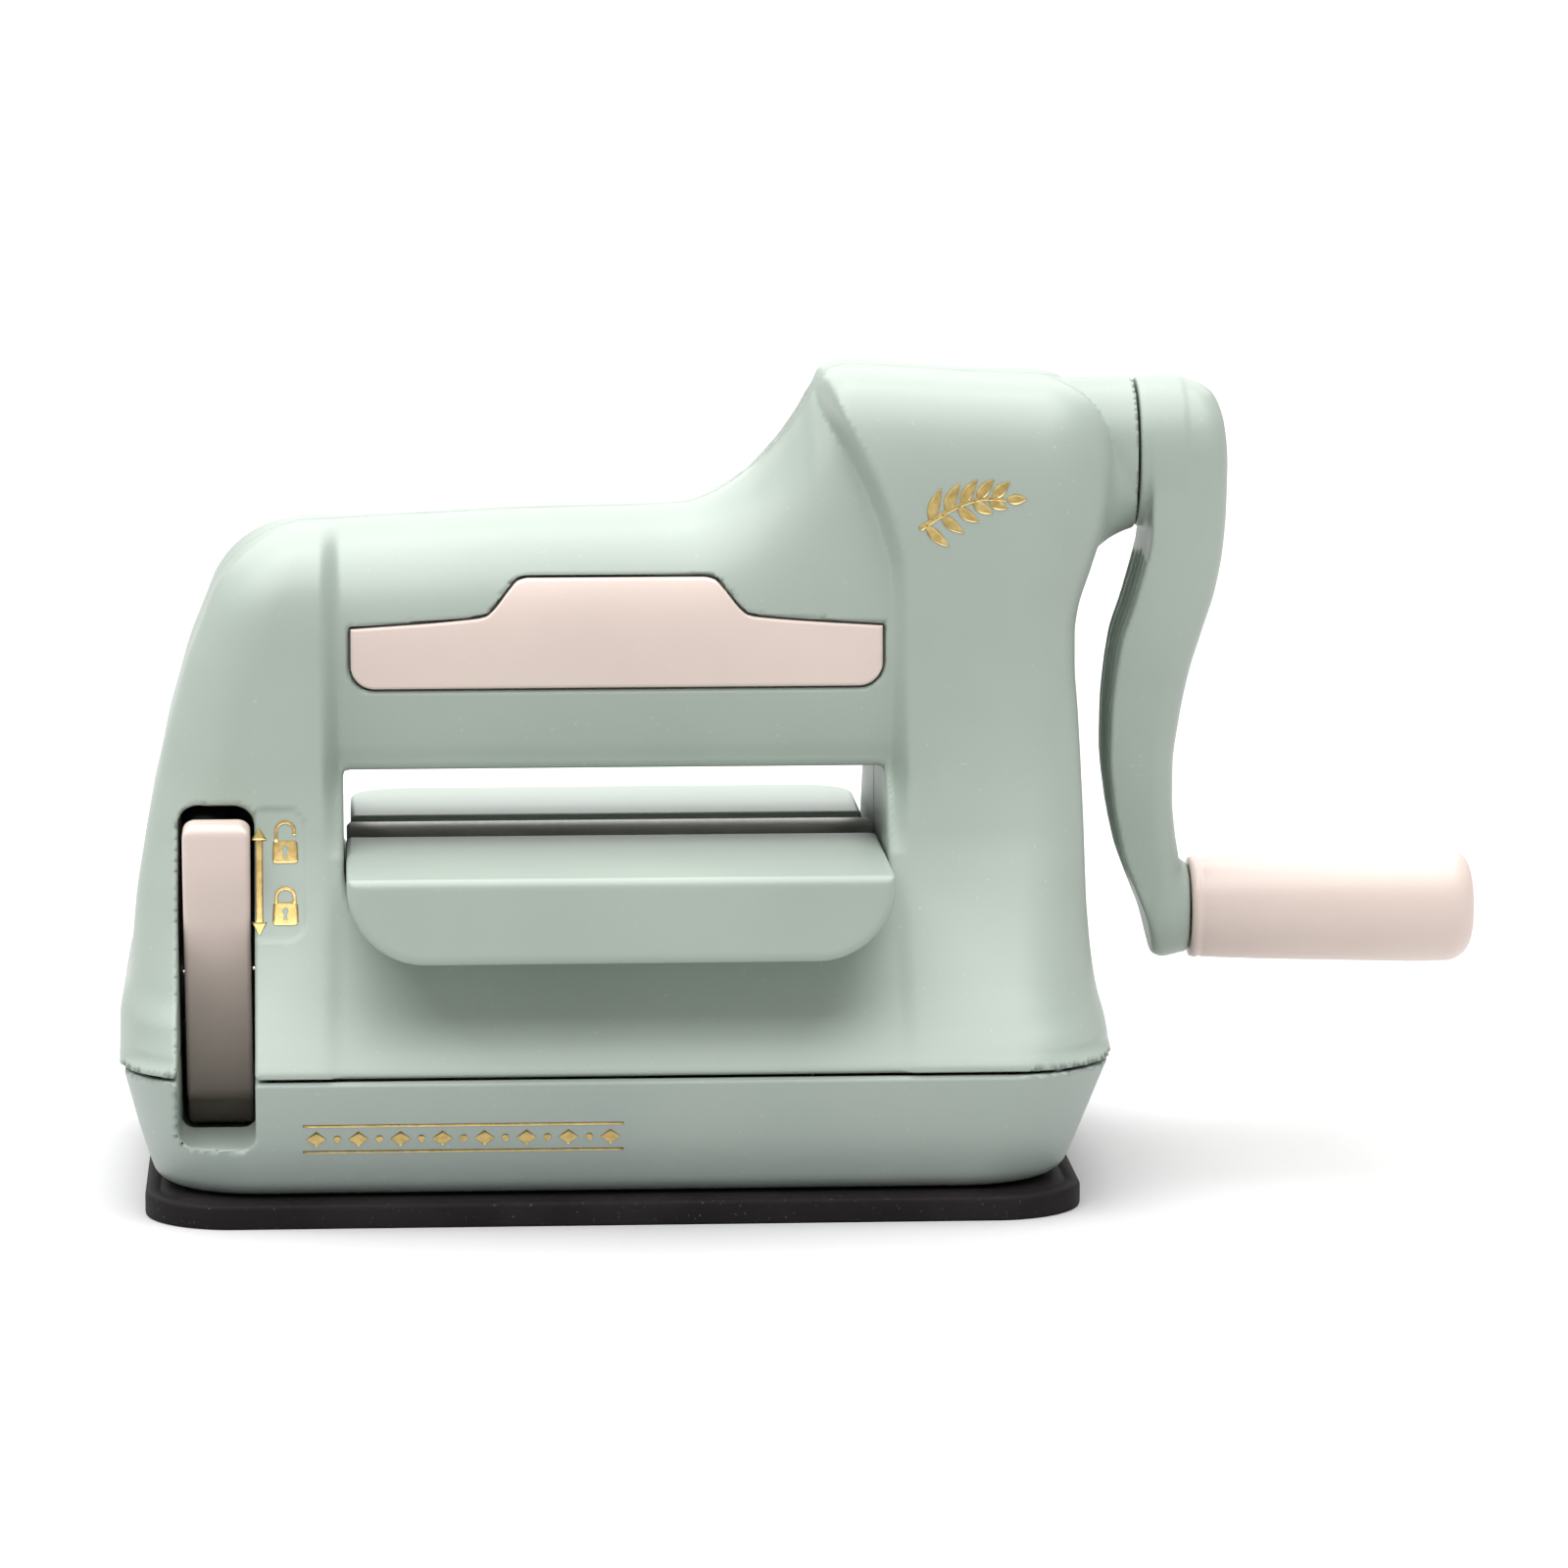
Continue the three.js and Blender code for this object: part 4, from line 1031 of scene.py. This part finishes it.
def crank_arm(x, y, z):
    """The arm, its round hub and the boss that the grip turns against."""
    side = arm_side(y, z)
    arch = CRANK_Z - HUB_RADIUS - np.abs(y) * 0.12
    ribbed = soft_step(z, RIB_LOW, RIB_LOW + 5) * (1 - soft_step(z, arch - 6, arch - 3.5))
    ribbed = ribbed * soft_step(-side, 1.0, 1.9)
    groove = RIDGE_DEPTH * ribbed * (0.5 - 0.5 * np.cos(2 * np.pi * (y / RIDGE_PITCH + 0.5)))
    bar = meet(side, levelled(arm_outer(z), x, slope_of(arm_outer, z)), ARM_ROUND)
    bar = meet(bar, levelled(-arm_inner(z) - groove, -x, slope_of(arm_inner, z)), 0.6)
    across_hub, across_pin = np.hypot(y, z - CRANK_Z), np.hypot(y, z - GRIP_Z)
    hub = meet(across_hub - HUB_RADIUS + 0.05, np.maximum(HUB_FACE - x, x - 96), 0.5)
    boss = meet(across_pin - TIP_RADIUS + 0.5, np.maximum(92 - x, x - BOSS_END), 0.5)
    arm = join(join(bar, hub, 1.2), boss, 2.0)
    arm = np.maximum(arm, -np.maximum(across_hub - SHAFT_HOLE, x - SHAFT_HOLE_END))
    arm = cut(arm, np.maximum(across_hub - SCREW_HEAD_ROOM, SCREW_SEAT - x), 0.3)
    arm = np.maximum(arm, -(across_hub - SCREW_HOLE))
    return np.maximum(arm, -np.maximum(across_pin - PIN_HOLE, PIN_HOLE_START - x))


moulding("arm_moulding", crank_arm, (82, -13, 34), (104, 13, 135), 0.55, "housing_plastic", "crank", ["crank_arm"])

# %% [markdown]
# The grip is turned in form: a thin rim next to the arm, a body that swells slowly towards the end, and a rounded end.
# A smooth curve through a few radii gives the swell; the rim and the end are circular arcs.


# %% Grip
GRIP_BORE_DEPTH, END_ROUND = 36, 4.6


def grip_profile():
    """(position, radius) rows: out of the pin's bore, over the rim, along the swell and round the end."""
    start, end = grip_low[0], grip_high[0]
    bore_end = start + GRIP_BORE_DEPTH
    swell = curve(
        (start, 8.5), (start + 6, 8.85), (start + 14, 9.15), (start + 28, 9.55), (end - 8, 9.85), (end, 9.6))
    turn = np.linspace(0, np.pi / 2, 9)
    rows = [(bore_end, 0.2), (bore_end, PIN_HOLE), (start, PIN_HOLE), (start, 8.0), (start + 0.15, 8.45)]
    rows += [(start + 0.9, 8.75), (start + 1.4, 8.65), (start + 1.7, 8.5)]
    along = np.linspace(start + 2.2, end - END_ROUND, 26)
    rows += list(zip(along, swell(along)))
    edge = swell(end - END_ROUND)
    rows += [(end - END_ROUND + 4.5 * np.sin(a), edge - 4.4 * (1 - np.cos(a))) for a in turn[1:]]
    rows += [(end - 0.02, 3.0), (end, 0.2)]
    return rows


turned("grip_body", grip_profile(), (0, 0, GRIP_Z), "cream_plastic", "grip", ["crank_grip"], turns=128)

# %% [markdown]
# The suction lever is a curved wedge: thick at the thumb end and narrow at its pivot. In side view its front and back
# are two curves over height that end in a round hub. Its thumb end is flat on top with bevelled corners.

# %% Suction lever
PIVOT_Y, PIVOT_Z = lever_shaft[1], lever_shaft[2]
LEVER_HUB = 7.0
LEVER_MIDDLE = (lever_low[0] + lever_high[0]) / 2
LEVER_HALF = (lever_high[0] - lever_low[0]) / 2
LEVER_FOOT, THUMB_BEVEL, LEVER_BORE = 14.6, 1.3, 3.3
lever_front = curve(
    (12, -19.0), (17, -22.6), (24, -26.2), (33, -30.6), (41, -34.4), (50, -38.0), (58, -40.6), (66, -41.6))
lever_back = curve(
    (16, 0.5), (19.2, -1.8), (25, -4.9), (33, -9.1), (41, -14.1), (50, -20.2), (58, -26.3), (66, -32.2))


def suction_lever(x, y, z):
    """Between the front and back curves, rounded at its sides, joined to a hub round the pivot."""
    side = np.abs(x - LEVER_MIDDLE) - LEVER_HALF
    in_front = levelled(-lever_front(z), -y, slope_of(lever_front, z))
    behind = levelled(lever_back(z), y, slope_of(lever_back, z))
    blade = meet(in_front, behind, 1.5)
    blade = meet(blade, z - lever_high[2], 2.0)
    blade = meet(blade, LEVER_FOOT - z, 3.0)
    bevel = (side + z - lever_high[2] + THUMB_BEVEL) * 0.71
    across = np.hypot(y - PIVOT_Y, z - PIVOT_Z)
    lever = meet(join(blade, across - LEVER_HUB, 4.0), side, 0.8)
    lever = meet(lever, bevel, 0.5)
    return np.maximum(lever, -np.maximum(across - LEVER_BORE, lever_low[0] + 2 - x))


moulding("lever_moulding", suction_lever, lever_low, lever_high, 0.5, "cream_plastic", "suction_lever",
         ["suction_lever"])

# %% [markdown]
# The gold marks are hot-foil prints: films about a tenth of a millimetre thick that lie on the plastic. Each one is a
# ribbon along a short path with a width that changes, and its points are lowered onto the front by the same formula as
# the housing. A ribbon whose width is a half circle gives a dot, one that tapers gives a leaf.


# %% Foil ribbons
SUNK = 0.05


def housing_front(x, z):
    """The y of the housing's front face."""
    return -front_half(x, z)


def base_front(x, z):
    """The y of the base's front face, which is the same all along x."""
    return -base_half(z)


def ribbon(path, half_width, front, thickness=0.12, across=5):
    """A ribbon on a front: path holds (x, z) rows, half_width one value a row; gives points and faces."""
    path = np.asarray(path, dtype=float)
    along = np.gradient(path, axis=0)
    along /= np.maximum(np.linalg.norm(along, axis=1), TINY)[:, None]
    side = np.stack([along[:, 1], -along[:, 0]], axis=1)
    share = np.linspace(-1, 1, across)
    reach = np.asarray(half_width) * np.ones(len(path))
    flat = path[:, None] + share[None, :, None] * reach[:, None, None] * side[:, None]
    x, z = flat[..., 0], flat[..., 1]
    y = front(x, z)
    face = np.stack([x, y - thickness, z], axis=-1)
    back = np.stack([x, y + SUNK, z], axis=-1)
    return closed_sheet(face, back)


def outward(points, faces):
    """Turns the faces round if the closed mesh is inside out, by the sign of its volume."""
    from_middle = points - points.mean(axis=0)
    a, b, c, d = (from_middle[faces[:, corner]] for corner in range(4))
    volume = np.sum(a * np.cross(b, c)) + np.sum(a * np.cross(c, d))
    return faces if volume > 0 else faces[:, ::-1]


def foil(name, ribbons, slot="gold_print"):
    """Joins ribbons into one piece on the body."""
    points, faces, count = [], [], 0
    for some_points, some_faces in ribbons:
        faces.append(outward(some_points, some_faces) + count)
        points.append(some_points)
        count += len(some_points)
    return put(name, np.concatenate(points), np.concatenate(faces), slot, "body")


print("foil ribbons ready")

# %% [markdown]
# Beside the lever stand two padlocks, an open one above a closed one, joined by a line with an arrow tip at each end:
# up is free, down is locked. Each padlock is a rounded plate, a hoop and a keyhole in the colour of the plastic.


# %% Padlocks and arrow
LOCK_X = -56.1
OPEN_Z, CLOSED_Z = 59.3, 49.7
LOCK_HEIGHT, LOCK_HALF = 3.5, 2.15
HOOP_HALF, HOOP_RISE, HOOP_WIRE, HOOP_SUNK = 1.5, 1.35, 0.27, 0.2


def upright(x, z):
    """A path of (x, z) rows that goes straight up or down at one x."""
    return np.column_stack([np.full(len(z), x), z])


def padlock(x, z, is_open):
    """A rounded plate with its hoop; an open hoop is taller and stops short on the right."""
    rise = np.linspace(0, 1, 15)
    width = LOCK_HALF - 0.5 * (2 * rise - 1) ** 12 - 0.12 * rise
    plate = ribbon(upright(x, z - LOCK_HEIGHT / 2 + LOCK_HEIGHT * rise), width, housing_front, across=9)
    foot = z + 1.7
    top = foot + (1.7 if is_open else 0.9)
    turn = np.linspace(np.pi, 0, 22)
    hoop = np.column_stack([x + HOOP_HALF * np.cos(turn), top + HOOP_RISE * np.sin(turn)])
    left = upright(x - HOOP_HALF, np.linspace(foot - HOOP_SUNK, top - HOOP_SUNK, 4))
    right_end = foot + 0.9 if is_open else foot - HOOP_SUNK
    right = upright(x + HOOP_HALF, np.linspace(top - HOOP_SUNK, right_end, 4))
    return [plate, ribbon(np.concatenate([left, hoop, right]), HOOP_WIRE, housing_front)]


def keyhole(x, z):
    """A round eye above a slot that widens downwards."""
    drop = np.linspace(0, 1, 13)
    eye = np.sqrt(np.clip(1 - ((drop - 0.3) / 0.3) ** 2, 0, 1)) * 0.52
    skirt_width = np.where(drop > 0.42, 0.2 + 0.28 * (drop - 0.42), 0)
    width = np.maximum(np.maximum(eye, skirt_width), 0.05)
    return ribbon(upright(x, z + 0.95 - 1.9 * drop), width, housing_front, 0.17)


ARROW_X = -60.4
ARROW_TOP, ARROW_LOW = 63.2, 46.4
TIP_LENGTH, TIP_HALF, SHAFT_INSET, SHAFT_HALF = 2.0, 1.25, 1.2, 0.6
marks = padlock(LOCK_X, OPEN_Z, True) + padlock(LOCK_X, CLOSED_Z, False)
shaft = upright(ARROW_X, np.linspace(ARROW_TOP - SHAFT_INSET, ARROW_LOW + SHAFT_INSET, 12))
marks.append(ribbon(shaft, SHAFT_HALF, housing_front))
for tip_z, way in ((ARROW_TOP, -1), (ARROW_LOW, 1)):
    spread = np.linspace(0.02, 1, 8)
    tip = upright(ARROW_X, tip_z + way * TIP_LENGTH * spread)
    marks.append(ribbon(tip, TIP_HALF * spread, housing_front, 0.13))
foil("lock_marks", marks)
foil("keyholes", [keyhole(LOCK_X, OPEN_Z), keyhole(LOCK_X, CLOSED_Z)], "housing_plastic")

# %% [markdown]
# The tower carries a sprig of leaves and the base a row of diamonds and dots between two fine lines. Both are plain
# ornaments. Each leaf leaves the stem at an angle, bends a little, and is widest in its first half.


# %% Sprig and border
def stem_at(t):
    """The stem's line: a rising arch, t from 0 to 1."""
    return np.stack([49.8 + 14.6 * t, 111.8 + 5.0 * np.sin(np.pi * t * 0.62)], axis=-1)


def leaf(root, heading, length, width):
    """A lens along a short bend: its width follows a sine that leans towards the root."""
    t = np.linspace(0, 1, 12)
    angle = heading + 0.35 * np.sign(np.sin(heading)) * (0.5 - t)
    steps = np.stack([np.cos(angle), np.sin(angle)], axis=-1) * length / (len(t) - 1)
    path = root + np.cumsum(steps, axis=0) - steps[0]
    return ribbon(path, width * np.sin(np.pi * t ** 0.8) + 0.02, housing_front)


stem_t = np.linspace(0, 1, 24)
sprig = [ribbon(stem_at(stem_t), 0.42 - 0.2 * stem_t, housing_front)]
LEAF_PAIRS = 5
for pair in range(LEAF_PAIRS):
    t = 0.12 + 0.18 * pair
    size = 6.0 - 0.5 * pair
    sprig.append(leaf(stem_at(np.array(t)), 1.25 - 0.12 * pair, size, 0.95))
    sprig.append(leaf(stem_at(np.array(t - 0.05)), -0.75 + 0.06 * pair, size * 0.9, 0.9))
sprig.append(leaf(stem_at(np.array(1.0)), 0.05, 3.4, 0.85))
foil("sprig", sprig)

BORDER_LEFT, BORDER_RIGHT, BORDER_Z, BORDER_HALF = -53.5, -0.8, 14.6, 2.3
MOTIFS, MARGIN = 15, 2.2
DOT_RADIUS, DIAMOND_REACH, DIAMOND_HALF = 0.6, 1.6, 1.3


def level(x, z):
    """A path of (x, z) rows that runs level at one z."""
    return np.column_stack([x, np.full(len(x), z)])


border = []
line_x = np.linspace(BORDER_LEFT, BORDER_RIGHT, 40)
for line_z in (BORDER_Z - BORDER_HALF, BORDER_Z + BORDER_HALF):
    border.append(ribbon(level(line_x, line_z), 0.2, base_front, across=3))
pitch = (BORDER_RIGHT - BORDER_LEFT - 2 * MARGIN) / (MOTIFS - 1)
t = np.linspace(-0.99, 0.99, 13)
for motif in range(MOTIFS):
    motif_x = BORDER_LEFT + MARGIN + motif * pitch
    if motif % 2:
        reach, shape = DOT_RADIUS, DOT_RADIUS * np.sqrt(1 - t * t)
    else:
        reach, shape = DIAMOND_REACH, DIAMOND_HALF * (1 - np.abs(t)) + 0.02
    border.append(ribbon(level(motif_x + reach * t, BORDER_Z), shape, base_front))
foil("border", border)

# %% [markdown]
# The back is held by five recessed screws with a cross slot, and a sixth one holds the crank. Their heads are low
# domes, cut by two slots that cross and get shallower towards their ends.


# %% Screws
SCREW_CELL = 0.3
CROSS_HALF, CROSS_REACH, CROSS_DEPTH = 0.38, 1.7, 1.1


def screw(name, node, axis, head, shank, body):
    """A screw along an axis (0 is X, 1 is Y) with its head towards +axis; replaces its CAD node."""
    low, high = limits(node)
    centre = (low + high) / 2
    radius = max(high[2] - low[2], high[0] - low[0] if axis else 0) / 2
    top = high[axis]

    def distance(x, y, z):
        along = (x, y)[axis]
        u = (x, y)[1 - axis] - centre[1 - axis]
        v = z - centre[2]
        across = np.hypot(u, v)
        dome = meet(across - radius, along - top + 0.06 * across ** 2, 0.5)
        dome = np.maximum(dome, top - head - along)
        bar = np.maximum(across - shank, np.maximum(low[axis] - along, along - top + head))
        upright_slot = np.maximum(np.abs(u) - CROSS_HALF, np.abs(v) - CROSS_REACH)
        level_slot = np.maximum(np.abs(v) - CROSS_HALF, np.abs(u) - CROSS_REACH)
        slot = np.maximum(np.minimum(upright_slot, level_slot), top - CROSS_DEPTH + 0.3 * across - along)
        return np.maximum(np.minimum(dome, bar), -slot)

    box_low = centre - radius
    box_high = centre + radius
    box_low[axis], box_high[axis] = low[axis], high[axis]
    moulding(name, distance, box_low, box_high, SCREW_CELL, "zinc", body, [node])


for number in range(1, 6):
    screw(f"rear_screw_{number}", f"housing_screw_{number}", 1, 2.2, 1.5, "body")
screw("hub_screw", "crank_screw", 0, 1.5, 1.9, "crank")
